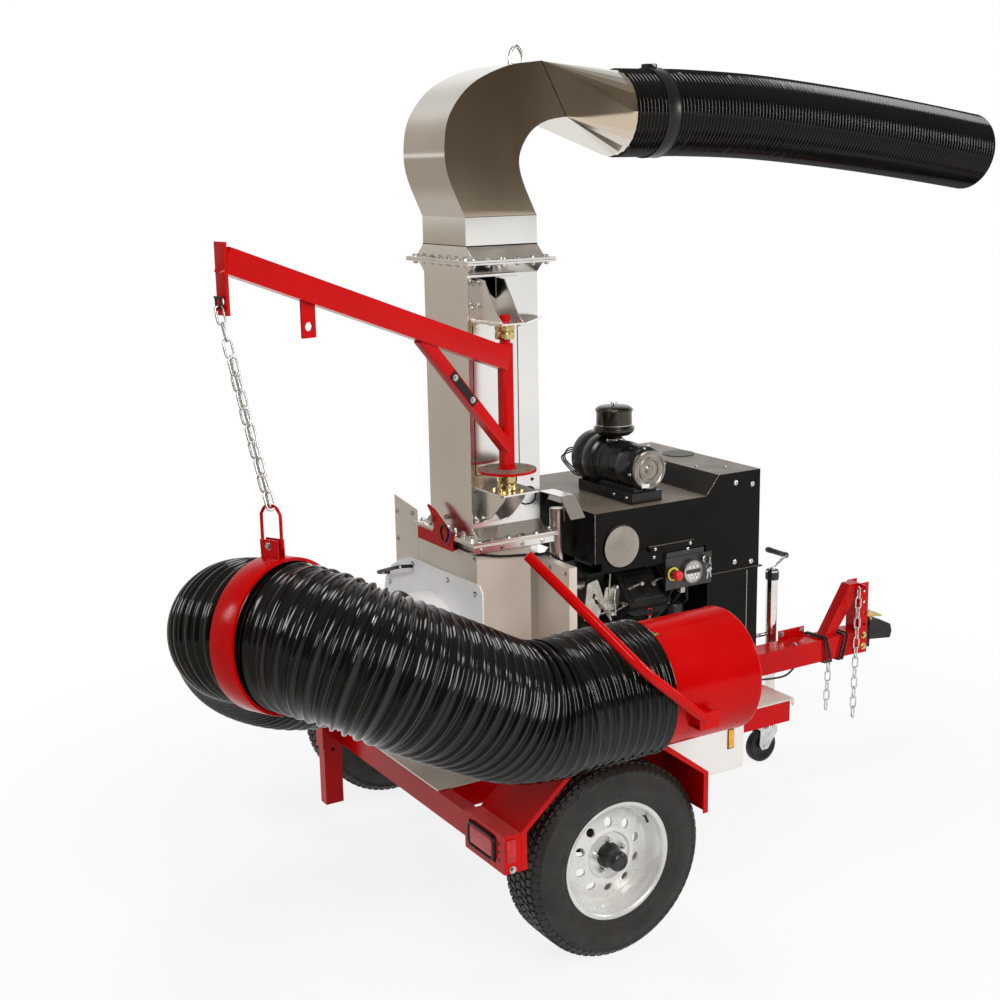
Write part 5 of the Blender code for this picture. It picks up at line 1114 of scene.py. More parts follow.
for level in ("upper", "lower"):
    skin(f"boom_bracket_{level}", stainless, 0.0008)
bracket_bolts = [(at(x, -0.1606, z), (0, -1, 0), x * 20 + z) for x in (-0.086, 0.04)
    for z in (2.228, 2.15, 1.49, 1.385)]
repeated("bracket_bolts", bolt(0.0075, 0.006), bracket_bolts, bright_steel)
POST = (-0.03, -0.28)
for level, low, high, seat, way in (("upper", 2.0425, 2.0937, 2.0935, -1), ("lower", 1.5093, 1.565, 1.5095, 1)):
    body = eased([(0.0193, low), (0.033, low), (0.0345, low + 0.006), (0.0345, (low + high) / 2 - 0.004),
        (0.031, (low + high) / 2), (0.0345, (low + high) / 2 + 0.004), (0.035, high - 0.005), (0.034, high),
        (0.0193, high)], 0.0012)
    piece(f"bearing_{level}_ring", [turned_about(body, at(*POST, 0.0), (0, 0, 1), 48)], yellow_zinc,
        (f"boom_bearing_{level}",), angle=40)
    ears = []
    for k in range(4):
        angle = math.tau * (k + 0.5) / 4
        ears.append((at(POST[0] + 0.05 * math.cos(angle), POST[1] + 0.05 * math.sin(angle), seat), (0, 0, way), k))
    repeated(f"bearing_{level}_bolts", bolt(0.0068, 0.006, 1.3), ears, yellow_zinc)


# Elbow: welded stainless sheet, square below and round at its outlet, with flat arched
# cheeks, a folded sheet between them that fans into facets, and a lifting hoop on top.

ELBOW_BASE, ELBOW_HALF, CHEEK_LEAN = 2.452, 0.155, 0.026
# Elbow sheet: its ends are darker than its bright sides, which is painted shade.
elbow_sheet = sheet_finish("elbow_sheet", (0.86, 0.84, 0.81), (0.7, 0.66, 0.6), (0.1, 0.16))


def cheeks_shaded_above(metal, height, tone):
    """The cheeks above their fold are tinted darker and browner than the square foot below: painted shade, as the
    tilted cheeks fall dark.
    """
    tree = metal.node_tree
    colour = tree.nodes["Principled BSDF"].inputs["Base Color"]
    facing = computed(tree, "ABSOLUTE", axes(tree, "NewGeometry", "Normal")["Y"])
    above = stepped(tree, axes(tree, "TexCoord", "Object")["Z"], height - 0.001, height + 0.001)
    both = computed(tree, "MULTIPLY", stepped(tree, facing, 0.55, 0.95), above)
    tint = two_tone(tree, both, (1.0, 1.0, 1.0), tone)
    link(tree, computed(tree, "MULTIPLY", colour.links[0].from_socket, tint, kind="VectorMath"), colour)


# Painted shade: the cheeks above the fold are darkened and browned.
cheeks_shaded_above(elbow_sheet, ELBOW_BASE, (0.72, 0.61, 0.48))


def bend_line(foot, points):
    """A cheek's edge as (X, Z) points: straight up from the foot, then along a soft curve."""
    curve = evenly(smooth_path([Vector((x, 0, z)) for x, z in ((foot, ELBOW_BASE), *points)]), 30)
    return [(foot, 2.3163), (foot, ELBOW_BASE)] + [(p.x, p.z) for p in curve[1:]]


outer_arc = bend_line(-0.105, ((-0.168, 2.6), (-0.174, 2.713), (-0.145, 2.806), (-0.057, 2.898), (0.087, 2.958),
    (0.223, 2.975)))
inner_arc = bend_line(0.185, ((0.136, 2.56), (0.119, 2.628), (0.131, 2.682), (0.173, 2.739), (0.235, 2.773),
    (0.32, 2.788)))


def cheek_half(z):
    """Half the elbow's width at a height: its cheeks lean in towards the top."""
    return ELBOW_HALF - max(z - ELBOW_BASE, 0.0) * CHEEK_LEAN


def elbow_shell(inset):
    """Rings of the elbow's four corners, then each corner fanned out to a quarter of the outlet."""
    work = bmesh.new()
    rings = []
    for (ox, oz), (ix, iz) in zip(outer_arc, inner_arc):
        pull = Vector((ox - ix, 0, oz - iz)).normalized() * inset
        rings.append([work.verts.new(at(x, hand * (cheek_half(z) - inset), z) + shift) for x, z, shift, hand in
            ((ix, iz, pull, -1), (ox, oz, -pull, -1), (ox, oz, -pull, 1), (ix, iz, pull, 1))])
    strip(work, rings)
    fan = 7
    reach = 0.155 - inset
    first, second = ([work.verts.new(at(x, reach * math.cos(angle), 2.805 + reach * math.sin(angle)))
        for angle in [math.radians(270) - math.tau * k / (4 * fan) for k in range(4 * fan)]] for x in (0.6, 0.6303))
    for corner in range(4):
        here = rings[-1][corner]
        for k in range(corner * fan, (corner + 1) * fan):
            work.faces.new((here, first[k], first[(k + 1) % (4 * fan)]))
        work.faces.new((here, first[((corner + 1) * fan) % (4 * fan)], rings[-1][(corner + 1) % 4]))
    for k in range(4 * fan):
        after = (k + 1) % (4 * fan)
        work.faces.new((first[k], second[k], second[after], first[after]))
    return work


def elbow_body():
    """Outer and inner skins closed into one sheet at the foot and at the outlet."""
    whole = joined(elbow_shell(0.0), elbow_shell(0.004))
    whole.verts.ensure_lookup_table()
    loops = [edge for edge in whole.edges if edge.is_boundary]
    bmesh.ops.bridge_loops(whole, edges=[e for e in loops if e.verts[0].co.x < DATUM.x + 0.5])
    bmesh.ops.bridge_loops(whole, edges=[e for e in loops if e.is_valid and e.verts[0].co.x > DATUM.x + 0.5])
    bmesh.ops.recalc_face_normals(whole, faces=whole.faces)
    return whole


skirt_outline = [(-0.207, 2.3083), (-0.155, 2.3533), (0.155, 2.3533), (0.207, 2.3083)]
skirt = thin_plate([at(-0.1058, y, z) for y, z in skirt_outline], Vector((0.2916, 0, 0)))
bmesh.ops.recalc_face_normals(skirt, faces=skirt.faces)
foot_flange = span(at(-0.14, -0.225, 2.3003), at(0.22, 0.225, 2.3083))
hoop = rod(smooth_path([at(0.178, 0, 2.95), at(0.18, 0, 3.005), at(0.205, 0, 3.034), at(0.23, 0, 3.005),
    at(0.232, 0, 2.955)]), 0.006, 14)
hoop_lug = span(at(0.172, -0.004, 2.945), at(0.238, 0.004, 2.975))
piece("elbow_sheet_body", [elbow_body()], elbow_sheet, ("elbow",), angle=9)
piece("elbow_foot", [skirt, foot_flange], stainless, edge=0.001)
piece("lifting_hoop", [hoop, hoop_lug], bright_steel, angle=50)
# Dark lines along the elbow's folds and fan edges: painted shade in the creases.
seams = [rod([at(0.223, side * (cheek_half(2.975) + 0.0004), 2.975),
    at(0.32, side * (cheek_half(2.788) + 0.0004), 2.788)], 0.0014, 8) for side in (-1, 1)]
seams += [rod([at(0.223, -cheek_half(2.975), 2.9752), at(0.223, cheek_half(2.975), 2.9752)], 0.0012, 8),
    rod([at(0.32, -cheek_half(2.788), 2.7878), at(0.32, cheek_half(2.788), 2.7878)], 0.0012, 8),
    rod([at(-0.1052, -0.1552, ELBOW_BASE), at(0.185, -0.1552, ELBOW_BASE)], 0.001, 8),
    rod([at(-0.1062, 0.155, 2.354), at(-0.1062, -0.1562, 2.354), at(0.186, -0.1562, 2.354)], 0.0014, 8)]
piece("elbow_folds", seams, shade_and_joint_black, slot="stainless")
weld = [at(0.33 + 0.0095 * k, -0.004 + 0.0012 * (k % 2), 2.7885 - 0.0046 * k + 0.0002 * (k % 3)) for k in range(29)]
piece("elbow_weld", [rod(weld, [0.0028 + 0.0008 * (k % 3) for k in range(29)], 8)], bright_steel, slot="stainless")


# Engine: black V-twin on the deck with a finned cylinder each side, an oil filter, a starter,
# and bright governor levers, springs and rods in front of its near cylinder.

def fins(centre, along, radius, count, pitch, thickness):
    """Square cooling fins with rounded corners, stacked along an axis."""
    first = Vector((1, 0, 0))
    second = along.cross(first)
    parts = []
    for k in range(count):
        outline = []
        for quarter in range(4):
            for step in range(5):
                angle = math.tau * (quarter + step / 4) / 4
                cx = (radius * 0.62) * (1 if quarter in (0, 3) else -1)
                cy = (radius * 0.62) * (1 if quarter in (0, 1) else -1)
                outline.append(centre + along * pitch * k + first * (cx + radius * 0.38 * math.cos(angle))
                    + second * (cy + radius * 0.38 * math.sin(angle)))
        parts.append(thin_plate(outline, along * thickness))
    return joined(*parts)


engine_black = finish("engine_black", (0.008, 0.008, 0.008), (0.02, 0.019, 0.018), (0.3, 0.48), metallic=0.2,
    patch=12.0, grain=120.0, bump=0.25, specular=0.35)
skin("engine_block", engine_black, 0.004)
for name, side in WHEELS.items():
    lean = Vector((0, side * 0.205, 0.19)).normalized()
    low = at(0.56, side * 0.1, 0.889)
    piece(f"cylinder_fins_{name}", [fins(low + lean * 0.06, lean, 0.098, 11, 0.0155, 0.004)], engine_black,
        slot="engine_metal", edge=0.0006)
    head = block(low + lean * 0.243, (0.15, 0.11, 0.03),
        Matrix((Vector((1, 0, 0)), lean.cross((1, 0, 0)), lean)).transposed())
    piece(f"valve_cover_{name}", [head], engine_black, slot="engine_metal", edge=0.008, steps=4)
filter_can = turned_about(eased([(0.0, 0.0), (0.037, 0.0), (0.037, 0.088), (0.032, 0.096), (0.0, 0.096)], 0.004),
    at(0.715, -0.27, 0.876), (0, 0, 1), 40)
grip_ways = [Vector((math.cos(math.tau * k / 18), math.sin(math.tau * k / 18), 0)) for k in range(18)]
filter_grip = [(at(0.715, -0.27, 0.95) + way * 0.0368, way, 0.0) for way in grip_ways]
rib_form = block((0, 0, 0), (0.005, 0.022, 0.003))
piece("oil_filter", [filter_can, copies(rib_form, filter_grip, black_plastic)], black_plastic, angle=35)
linkage = finish("linkage_zinc", (0.38, 0.35, 0.3), (0.58, 0.55, 0.49), (0.2, 0.36), metallic=0.85, patch=30.0,
    bump=0.06, slot="zinc")


def lever(points, y):
    """A flat pressed lever in the XZ plane, its corners rounded."""
    return thin_plate([at(x, y, z) for x, z in eased(points, 0.012, 4)], Vector((0, -0.003, 0)))


arm_plate = lever([(0.275, 0.98), (0.335, 0.96), (0.368, 1.045), (0.338, 1.13), (0.292, 1.118)], -0.3002)
back_plate = lever([(0.385, 0.99), (0.455, 0.985), (0.478, 1.045), (0.446, 1.08), (0.4, 1.078)], -0.262)
piece("governor_plates", [arm_plate, back_plate], linkage, edge=0.0006)
# The arm's slot is a dark plate on its face: painted shade in place of an opening.
arm_slot_shade = thin_plate([at(0.322 + 0.006 * math.cos(a) + (0.012 if math.sin(a) < 0 else 0.0), -0.3034,
    1.07 + 0.006 * math.sin(a) + (-0.03 if math.sin(a) < 0 else 0.0))
    for a in [math.tau * k / 16 for k in range(16)]], Vector((0, -0.0002, 0)))
piece("governor_slot", [arm_slot_shade], shade_and_joint_black, slot="zinc", smooth=False)


def spring(start, end, radius, wire, turns):
    """A coil spring of round wire between two points."""
    along = (end - start).normalized()
    side = along.orthogonal().normalized()
    over = along.cross(side)
    points = [start]
    for k in range(turns * 10 + 1):
        angle = math.tau * k / 10
        points.append(start.lerp(end, 0.1 + 0.8 * k / (turns * 10))
            + (side * math.cos(angle) + over * math.sin(angle)) * radius)
    return rod(points + [end], wire, 7)


levers = [rod([at(*p) for p in path], radius, sides) for radius, sides, *path in
    ((0.0042, 10, (0.326, -0.306, 1.062), (0.36, -0.318, 1.01), (0.385, -0.322, 0.968)),
    (0.0035, 10, (0.42, -0.3, 1.09), (0.404, -0.316, 1.04), (0.4, -0.33, 0.985)),
    (0.0028, 8, (0.4, -0.318, 0.996), (0.47, -0.315, 1.016), (0.56, -0.313, 1.03)),
    (0.0028, 8, (0.36, -0.351, 1.158), (0.352, -0.352, 1.06)))]
levers += [spring(at(0.47, -0.3, 1.065), at(0.535, -0.304, 1.082), 0.0058, 0.0012, 9),
    spring(at(0.44, -0.306, 1.02), at(0.52, -0.308, 0.99), 0.0062, 0.0013, 11)]
levers += [pin(at(x, -0.292, z), at(x, -0.314, z), r) for x, z, r in ((0.326, 1.062, 0.008), (0.42, 1.088, 0.007),
    (0.4, 0.99, 0.01), (0.535, 1.083, 0.008), (0.56, 1.03, 0.009), (0.52, 0.99, 0.007), (0.59, 1.075, 0.01))]
piece("governor_linkage", levers, linkage, angle=45)
stays = [rod([at(*p) for p in path], radius, sides) for radius, sides, *path in
    ((0.0045, 10, (0.59, -0.296, 1.076), (0.64, -0.3, 1.09)),
    (0.006, 10, (0.326, -0.2925, 1.062), (0.33, -0.245, 1.035), (0.362, -0.19, 1.02)),
    (0.006, 10, (0.42, -0.292, 1.088), (0.432, -0.235, 1.06), (0.44, -0.18, 1.05)),
    (0.006, 10, (0.56, -0.292, 1.03), (0.555, -0.24, 0.99), (0.55, -0.2, 0.96)),
    (0.007, 10, (0.4, -0.292, 0.99), (0.41, -0.22, 0.96), (0.43, -0.14, 0.94)),
    (0.006, 10, (0.52, -0.293, 0.99), (0.522, -0.23, 0.965), (0.53, -0.19, 0.95)),
    (0.0024, 8, (0.352, -0.352, 1.06), (0.362, -0.335, 1.03), (0.384, -0.322, 0.97)),
    (0.007, 10, (0.59, -0.292, 1.075), (0.585, -0.26, 1.06), (0.58, -0.235, 1.04)))]
piece("governor_stays", stays, bright_steel, angle=45)
pull_ring = rod([at(0.566 + 0.011 * math.cos(math.tau * k / 18), -0.318, 0.968 + 0.015 * math.sin(math.tau * k / 18))
    for k in range(18)], 0.0022, 8, closed=True)
piece("dipstick_ring", [pull_ring], lens_red, slot="red_button", angle=50)
piece("dipstick_tube",
    [rod([at(0.566, -0.318, 0.955), at(0.566, -0.312, 0.935), at(0.562, -0.25, 0.9), at(0.56, -0.14, 0.88)], 0.0055,
    12)], yellow_zinc, angle=50)
starter = [turned_about(eased([(0.0, 0.0), (0.016, 0.0), (0.016, 0.034), (0.0, 0.034)], 0.002),
    at(0.655, -0.3, 0.985), (0, 0, 1), 28),
    turned_about(eased([(0.0, 0.0), (0.01, 0.0), (0.01, 0.028), (0.0, 0.028)], 0.002), at(0.622, -0.302, 0.985),
    (0, 0, 1), 24), rod([at(0.655, -0.3, 0.988), at(0.655, -0.292, 0.97), at(0.66, -0.25, 0.958)], 0.008, 12),
    rod([at(0.622, -0.302, 0.988), at(0.622, -0.29, 0.972), at(0.64, -0.24, 0.955)], 0.006, 12)]
piece("sender_cans", starter, linkage, angle=40)


# Cowl: black powder-coated sheet over the engine, stepped up to a tower in front with a
# sloped face. Dome-headed bolts hold its seams; thin bright lines on its bends are painted highlights.

cowl_coat = finish("cowl_coat", (0.002, 0.0018, 0.0015), (0.005, 0.004, 0.0035), (0.24, 0.36), patch=4.0, bump=0.1,
    specular=0.12)


def paler_tops_painted(paint, tone):
    """Faces that look up are given a paler tan: painted reflection of the studio's light on the tops."""
    tree = paint.node_tree
    colour = tree.nodes["Principled BSDF"].inputs["Base Color"]
    upward = stepped(tree, axes(tree, "NewGeometry", "Normal")["Z"], 0.55, 0.95)
    link(tree, two_tone(tree, upward, colour.links[0].from_socket, tone), colour)


# Painted reflection: the cowl's upward faces are tinted pale tan.
paler_tops_painted(cowl_coat, (0.2, 0.165, 0.13))
skin("engine_cowl", cowl_coat, 0.0022)
skin("enclosure_base", cowl_coat, 0.003)


def dome(radius, height):
    """Round-headed bolt with a small socket."""
    return turned_about([(radius * r, height * h) for r, h in ((0, 1), (0.22, 1), (0.24, 0.8), (0.34, 0.8), (0.36, 1),
        (0.62, 0.88), (0.88, 0.5))] + [(radius, 0.0008), (radius, -0.0006), (0.0, -0.0006)], sides=24)


side_domes = [(at(x, side * 0.3502, z), (0, side, 0), x) for side in (-1, 1)
    for x, z in ((0.948, 1.425), (1.03, 1.41), (0.948, 1.112), (1.03, 1.102))]
repeated("cowl_bolts", dome(0.0115, 0.006), side_domes, bright_steel, angle=50)
top_domes = [(at(x, y, 1.4652), (0, 0, 1), x) for x, y in ((1.01, 0.29), (0.905, 0.3), (0.9, -0.17), (0.985, -0.24))]
top_domes += [(at(x, -0.3506, z), (0, -1, 0), x) for x, z in ((0.56, 1.19), (0.718, 1.2))]
repeated("cowl_top_bolts", dome(0.008, 0.0048), top_domes, bright_steel, angle=50)
bar_domes = [(at(x, -0.3642, 1.224), (0, -1, 0), x) for x in (0.556, 0.72)]
repeated("rail_bolts", dome(0.0075, 0.0045), bar_domes, bright_steel, angle=50)
# Bright steel lines on the black bends and edges: painted highlights.
edge_highlight_lines = [rod([at(x, side * 0.3502, z) for x, z in ((0.806, 1.3915), (0.867, 1.4655))], 0.0009, 8)
    for side in (-1, 1)]
edge_highlight_lines += [rod([at(0.806, -0.349, 1.3915), at(0.806, 0.349, 1.3915)], 0.0009, 8),
    rod([at(0.2945, -0.3505, 1.205), at(0.2945, -0.3505, 1.388)], 0.0009, 8),
    rod([at(1.012, -0.3497, 0.66), at(1.012, -0.3497, 1.07)], 0.0012, 8)]
piece("cowl_bent_edges", edge_highlight_lines, bright_steel, slot="black_paint")


# Air inlet grille and roof vent: pressed aluminium mesh in a thin rim. The mesh is in the
# finish, a net of small round holes.

def mesh_finish(name, metal_tone, hole_shade_tone, pitch):
    """Pressed metal with a net of small round holes, one to each pitch; the holes are drawn dark in the colour,
    painted shade from the space behind.
    """
    paint, tree, shader = new_paint(name, {"Roughness": 0.42, "Specular IOR Level": 0.35})
    hole = stepped(tree, net_of_cells(tree, 1.0 / pitch), 0.24, 0.4)
    tone = two_tone(tree, spread(tree, noise(tree, 14.0), 0.0, 1.0), metal_tone, tuple(c * 0.8 for c in metal_tone))
    link(tree, two_tone(tree, hole, hole_shade_tone, tone), shader.inputs["Base Color"])
    bumped(tree, shader, hole, 0.4, 0.001)
    return paint


# Grille and vent holes: painted shade in the base colour.
grille_mesh = mesh_finish("grille_mesh", (0.4, 0.36, 0.31), (0.1, 0.09, 0.08), 0.0042)
vent_mesh = mesh_finish("vent_mesh", (0.1, 0.09, 0.08), (0.01, 0.01, 0.01), 0.006)
grille = turned_about([(0.0, -0.002), (0.078, -0.002), (0.078, 0.0012), (0.076, 0.0018), (0.0, 0.0026)],
    at(0.413, -0.3514, 1.253), (0, -1, 0), 72)
piece("grille_disc", [grille], grille_mesh, ("cowl_grille",), angle=40)
grille_rim = turned_about([(0.077, -0.0012), (0.082, -0.0012), (0.0822, 0.002), (0.081, 0.0034), (0.079, 0.0034),
    (0.077, 0.002)], at(0.413, -0.3514, 1.253), (0, -1, 0), 72)
piece("grille_rim", [grille_rim], cowl_coat, slot="aluminium", angle=40)
piece("roof_vent",
    [turned_about([(0.0, -0.001), (0.064, -0.001), (0.064, 0.0012), (0.0, 0.0016)], at(1.0, 0.073, 1.4672), (0, 0, 1),
    64)], vent_mesh, slot="black_paint")


# Exhaust: polished pipe that rises beside the cowl and bends down into the engine, under a
# thin bent heat shield on a post.

# Its side faces are a little brighter than its ends: painted light.
pipe_steel = sheet_finish("pipe_steel", (0.78, 0.72, 0.64), (0.74, 0.69, 0.62), (0.26, 0.34))
pipe_path = smooth_path([at(0.25, -0.165, z) for z in (1.385, 1.3, 1.22, 1.17)]
    + [at(0.256, -0.165, 1.13), at(0.275, -0.165, 1.098), at(0.306, -0.165, 1.079), at(0.34, -0.165, 1.075),
    at(0.3597, -0.165, 1.075)], None, 4)
inner_pipe = [rod(pipe_path, 0.0258, 32),
    turned_about([(0.0215, 0.0), (0.0215, -0.04), (0.0, -0.04), (0.0, -0.042), (0.024, -0.042), (0.0262, -0.001),
    (0.024, 0.001)], at(0.25, -0.165, 1.3855), (0, 0, 1), 32)]
piece("exhaust_tube", inner_pipe, pipe_steel, ("exhaust_pipe",), angle=50)
piece("exhaust_bands",
    [turned_about([(0.0258, -0.004), (0.0272, -0.004), (0.0272, 0.004), (0.0258, 0.004)], at(0.25, -0.165, z),
    (0, 0, 1), 32) for z in (1.36, 1.18)], pipe_steel, angle=40)
skin("exhaust_shield", stainless, 0.0005)


# Air cleaner: black canister on a saddle, its dust cup held by a steel cover with rings and
# a wing nut. A clear-necked precleaner bowl with a polished cap sits on top.

canister_black = finish("canister_black", (0.006, 0.006, 0.006), (0.014, 0.013, 0.012), (0.18, 0.28), patch=10.0,
    bump=0.05, specular=0.35)
CLEANER = at(0.557, -0.33, 1.518)
canister = [(0.0, 0.012), (0.06, 0.012), (0.072, 0.016), (0.08, 0.024), (0.084, 0.034), (0.085, 0.044), (0.085, 0.1),
    (0.0838, 0.104), (0.0838, 0.11), (0.085, 0.114), (0.085, 0.232), (0.088, 0.236), (0.088, 0.246), (0.085, 0.25),
    (0.099, 0.258), (0.1, 0.262), (0.1, 0.3), (0.0985, 0.303), (0.0985, 0.312), (0.1, 0.315), (0.1, 0.372),
    (0.096, 0.38), (0.07, 0.396), (0.06, 0.404), (0.036, 0.409), (0.032, 0.414), (0.032, 0.446), (0.0, 0.45)]
piece("canister", [turned_about(canister, CLEANER, (0, 1, 0), 72),
    span(CLEANER + Vector((-0.07, 0.02, -0.1275)), CLEANER + Vector((0.07, 0.37, -0.086))),
    span(CLEANER + Vector((-0.052, 0.03, -0.088)), CLEANER + Vector((0.052, 0.36, -0.06))),
    turned_about([(0.0, -0.02), (0.033, -0.02), (0.033, 0.013), (0.0, 0.013)], at(0.557, -0.1, 1.588), (0, 0, 1),
    32)], canister_black, ("air_cleaner",), edge=0.002, angle=28)
steel_cap = finish("steel_cap", (0.24, 0.22, 0.19), (0.36, 0.33, 0.29), (0.26, 0.38), metallic=0.85, patch=25.0,
    bump=0.06)
cover = [(0.0, 0.016), (0.07, 0.016), (0.0725, 0.012), (0.0725, 0.006), (0.07, 0.0015), (0.064, 0.001),
    (0.06, 0.0045), (0.056, 0.006), (0.048, 0.006), (0.044, 0.003), (0.0395, 0.003), (0.036, 0.0075), (0.028, 0.0085),
    (0.018, 0.007), (0.012, 0.003), (0.0, 0.0025)]
piece("canister_cover", [turned_about(cover, CLEANER, (0, 1, 0), 72)], steel_cap, slot="aluminium", angle=24)
piece("cover_tab", [block(CLEANER + Vector((-0.02, 0.002, -0.058)), (0.034, 0.003, 0.014))], white_coat,
    slot="aluminium", edge=0.0008)
clip_pins = [(CLEANER + Vector((0.08 * math.cos(a), 0.02, 0.08 * math.sin(a))), (0, -1, 0), a)
    for a in (math.radians(188), math.radians(8), math.radians(100))]
clip_pins += [(CLEANER + Vector((-0.0705, y, -0.105)), (-1, 0, 0), y) for y in (0.05, 0.13)]
repeated("canister_clips", dome(0.0065, 0.006), clip_pins, bright_steel, angle=50)
bands = [turned_about([(0.0846, y), (0.0864, y), (0.0864, y + 0.014), (0.0846, y + 0.014)], CLEANER, (0, 1, 0), 72)
    for y in (0.15, 0.205)]
piece("canister_bands", bands, engine_black, slot="black_paint", angle=40)
hose_loops = [rod(smooth_path([CLEANER + Vector(p)
    for p in ((-0.015 + 0.006 * k, 0.425, 0.02), (-0.075, 0.432 + 0.004 * k, 0.024 - 0.01 * k),
    (-0.098 - 0.008 * k, 0.42, -0.01), (-0.07, 0.4, -0.05 - 0.01 * k), (-0.04, 0.38, -0.082))], None, 6), 0.0028, 8)
    for k in range(3)]
piece("breather_leads", hose_loops, rubber, angle=60)
BOWL = at(0.557, -0.1, 1.618)
bowl = [(0.0, -0.0004), (0.05, -0.0004), (0.06, 0.002), (0.0735, 0.013), (0.077, 0.018), (0.0775, 0.026),
    (0.0765, 0.031), (0.073, 0.033), (0.069, 0.036), (0.068, 0.042), (0.068, 0.088), (0.069, 0.0905), (0.069, 0.096),
    (0.0675, 0.099), (0.058, 0.107), (0.02, 0.1105), (0.0, 0.111)]
bowl_bronze = finish("bowl_bronze", (0.05, 0.043, 0.036), (0.075, 0.066, 0.056), (0.18, 0.26), metallic=0.9,
    patch=14.0, bump=0.03)
piece("precleaner_bowl", [turned_about(bowl, BOWL, (0, 0, 1), 72)], bowl_bronze, ("precleaner",), angle=24)
bowl_cap = [(0.0, 0.109), (0.056, 0.1075), (0.064, 0.103), (0.07, 0.0975), (0.0706, 0.093), (0.0716, 0.093),
    (0.0716, 0.0985), (0.065, 0.105), (0.057, 0.1095), (0.02, 0.113), (0.0, 0.1132)]
piece("precleaner_cap", [turned_about(bowl_cap, BOWL, (0, 0, 1), 72)], bowl_bronze, slot="aluminium", angle=24)
wing = [turned_about(eased([(0.0, 0.0), (0.0075, 0.0), (0.006, 0.009), (0.0, 0.009)], 0.001),
    BOWL + Vector((0, 0, 0.1128)), (0, 0, 1), 20),
    rod([BOWL + Vector((-0.014, 0, 0.126)), BOWL + Vector((-0.008, 0, 0.1185)), BOWL + Vector((0.008, 0, 0.1185)),
    BOWL + Vector((0.014, 0, 0.126))], 0.0022, 10)]
piece("wing_nut", wing, bright_steel, angle=40)
glass = [turned_about([(0.0685, 0.04), (0.0692, 0.04), (0.0692, 0.0425), (0.0685, 0.0425)], BOWL, (0, 0, 1), 72),
    turned_about([(0.034, -0.029), (0.0352, -0.029), (0.0352, -0.013), (0.034, -0.013)], BOWL, (0, 0, 1), 48)]
piece("precleaner_bands", glass, bright_steel, angle=40)


# Control panel: dark grey plate with a round instrument, its display and push buttons, a
# yellow-ringed stop button, and a key switch with the spare keys hanging from it.

panel_grey = finish("panel_grey", (0.02, 0.019, 0.018), (0.03, 0.029, 0.027), (0.3, 0.4), patch=20.0, bump=0.15)
skin("control_panel", panel_grey, 0.0015)
PANEL_Y = -0.356
GAUGE, STOP, KEY = (0.731, 1.111), (0.64, 1.115), (0.793, 1.151)
silver_face = finish("silver_face", (0.44, 0.43, 0.41), (0.54, 0.53, 0.5), (0.28, 0.38), metallic=0.5, patch=20.0,
    bump=0.04)
dial = turned_about([(0.0, 0.0), (0.0405, 0.0), (0.0405, 0.0006), (0.0398, 0.001), (0.0, 0.001)],
    at(GAUGE[0], PANEL_Y - 0.0138, GAUGE[1]), (0, -1, 0), 64)
piece("gauge_face", [dial], silver_face, slot="aluminium")
gauge_ring = turned_about([(0.04, -0.01), (0.045, -0.01), (0.0455, 0.0005), (0.044, 0.0024), (0.0405, 0.0024),
    (0.0395, 0.0008)], at(GAUGE[0], PANEL_Y - 0.0138, GAUGE[1]), (0, -1, 0), 64)
piece("gauge_ring", [gauge_ring], steel_cap, slot="aluminium", angle=40)
display = span(at(GAUGE[0] - 0.034, PANEL_Y - 0.0168, GAUGE[1] - 0.004),
    at(GAUGE[0] + 0.034, PANEL_Y - 0.0147, GAUGE[1] + 0.01))
piece("gauge_display", [display], black_plastic, edge=0.0008)
keycap = turned_about(eased([(0.0, 0.0), (0.0048, 0.0), (0.0048, 0.0018), (0.0, 0.0022)], 0.0006), sides=16)
button_at = [(at(GAUGE[0] + dx, PANEL_Y - 0.0148, GAUGE[1] + dz), (0, -1, 0), 0.0)
    for dx, dz in ((-0.018, 0.0195), (0.0, 0.0195), (0.018, 0.0195), (-0.022, -0.0115), (-0.0075, -0.0115),
    (0.0075, -0.0115), (0.022, -0.0115), (-0.015, -0.0235), (0.0, -0.0235), (0.015, -0.0235))]
repeated("gauge_buttons", keycap, button_at, white_coat, slot="white_plastic")
yellow_ring_paint = finish("yellow_plastic", (0.62, 0.5, 0.02), (0.74, 0.62, 0.04), (0.3, 0.4), bump=0.05)
ring_out = [(0.019, 0.0002), (0.0262, 0.0002), (0.0262, 0.0032), (0.025, 0.004), (0.02, 0.004), (0.019, 0.003)]
piece("stop_ring", [turned_about(ring_out, at(STOP[0], PANEL_Y - 0.0078, STOP[1]), (0, -1, 0), 48)],
    yellow_ring_paint, slot="red_button", angle=40)
button_red = finish("button_red", (0.6, 0.012, 0.008), (0.74, 0.024, 0.016), (0.22, 0.3), bump=0.03, specular=0.4)
mushroom = [(0.0, -0.055), (0.0078, -0.055), (0.0078, 0.0), (0.015, 0.001), (0.0195, 0.004), (0.02, 0.01),
    (0.0185, 0.0165), (0.014, 0.0215), (0.007, 0.0238), (0.0, 0.024)]
piece("stop_mushroom", [turned_about(mushroom, at(STOP[0], PANEL_Y - 0.03, STOP[1]), (0, -1, 0), 48)], button_red,
    ("estop_button",), body="estop", angle=40)
key_ring = turned_about([(0.006, 0.0), (0.0128, 0.0), (0.0132, 0.002), (0.011, 0.0036), (0.007, 0.0036),
    (0.006, 0.002)], at(KEY[0], PANEL_Y - 0.0076, KEY[1]), (0, -1, 0), 32)
piece("key_switch_ring", [key_ring], bright_steel, angle=40)
skin("ignition_key", bright_steel, 0.0006)
ring_points = [at(KEY[0] + 0.0125 * math.cos(math.tau * k / 24), PANEL_Y - 0.03, KEY[1] - 0.0205
    + 0.0125 * math.sin(math.tau * k / 24)) for k in range(24)]
spare = [rod(ring_points, 0.0009, 8, closed=True)]
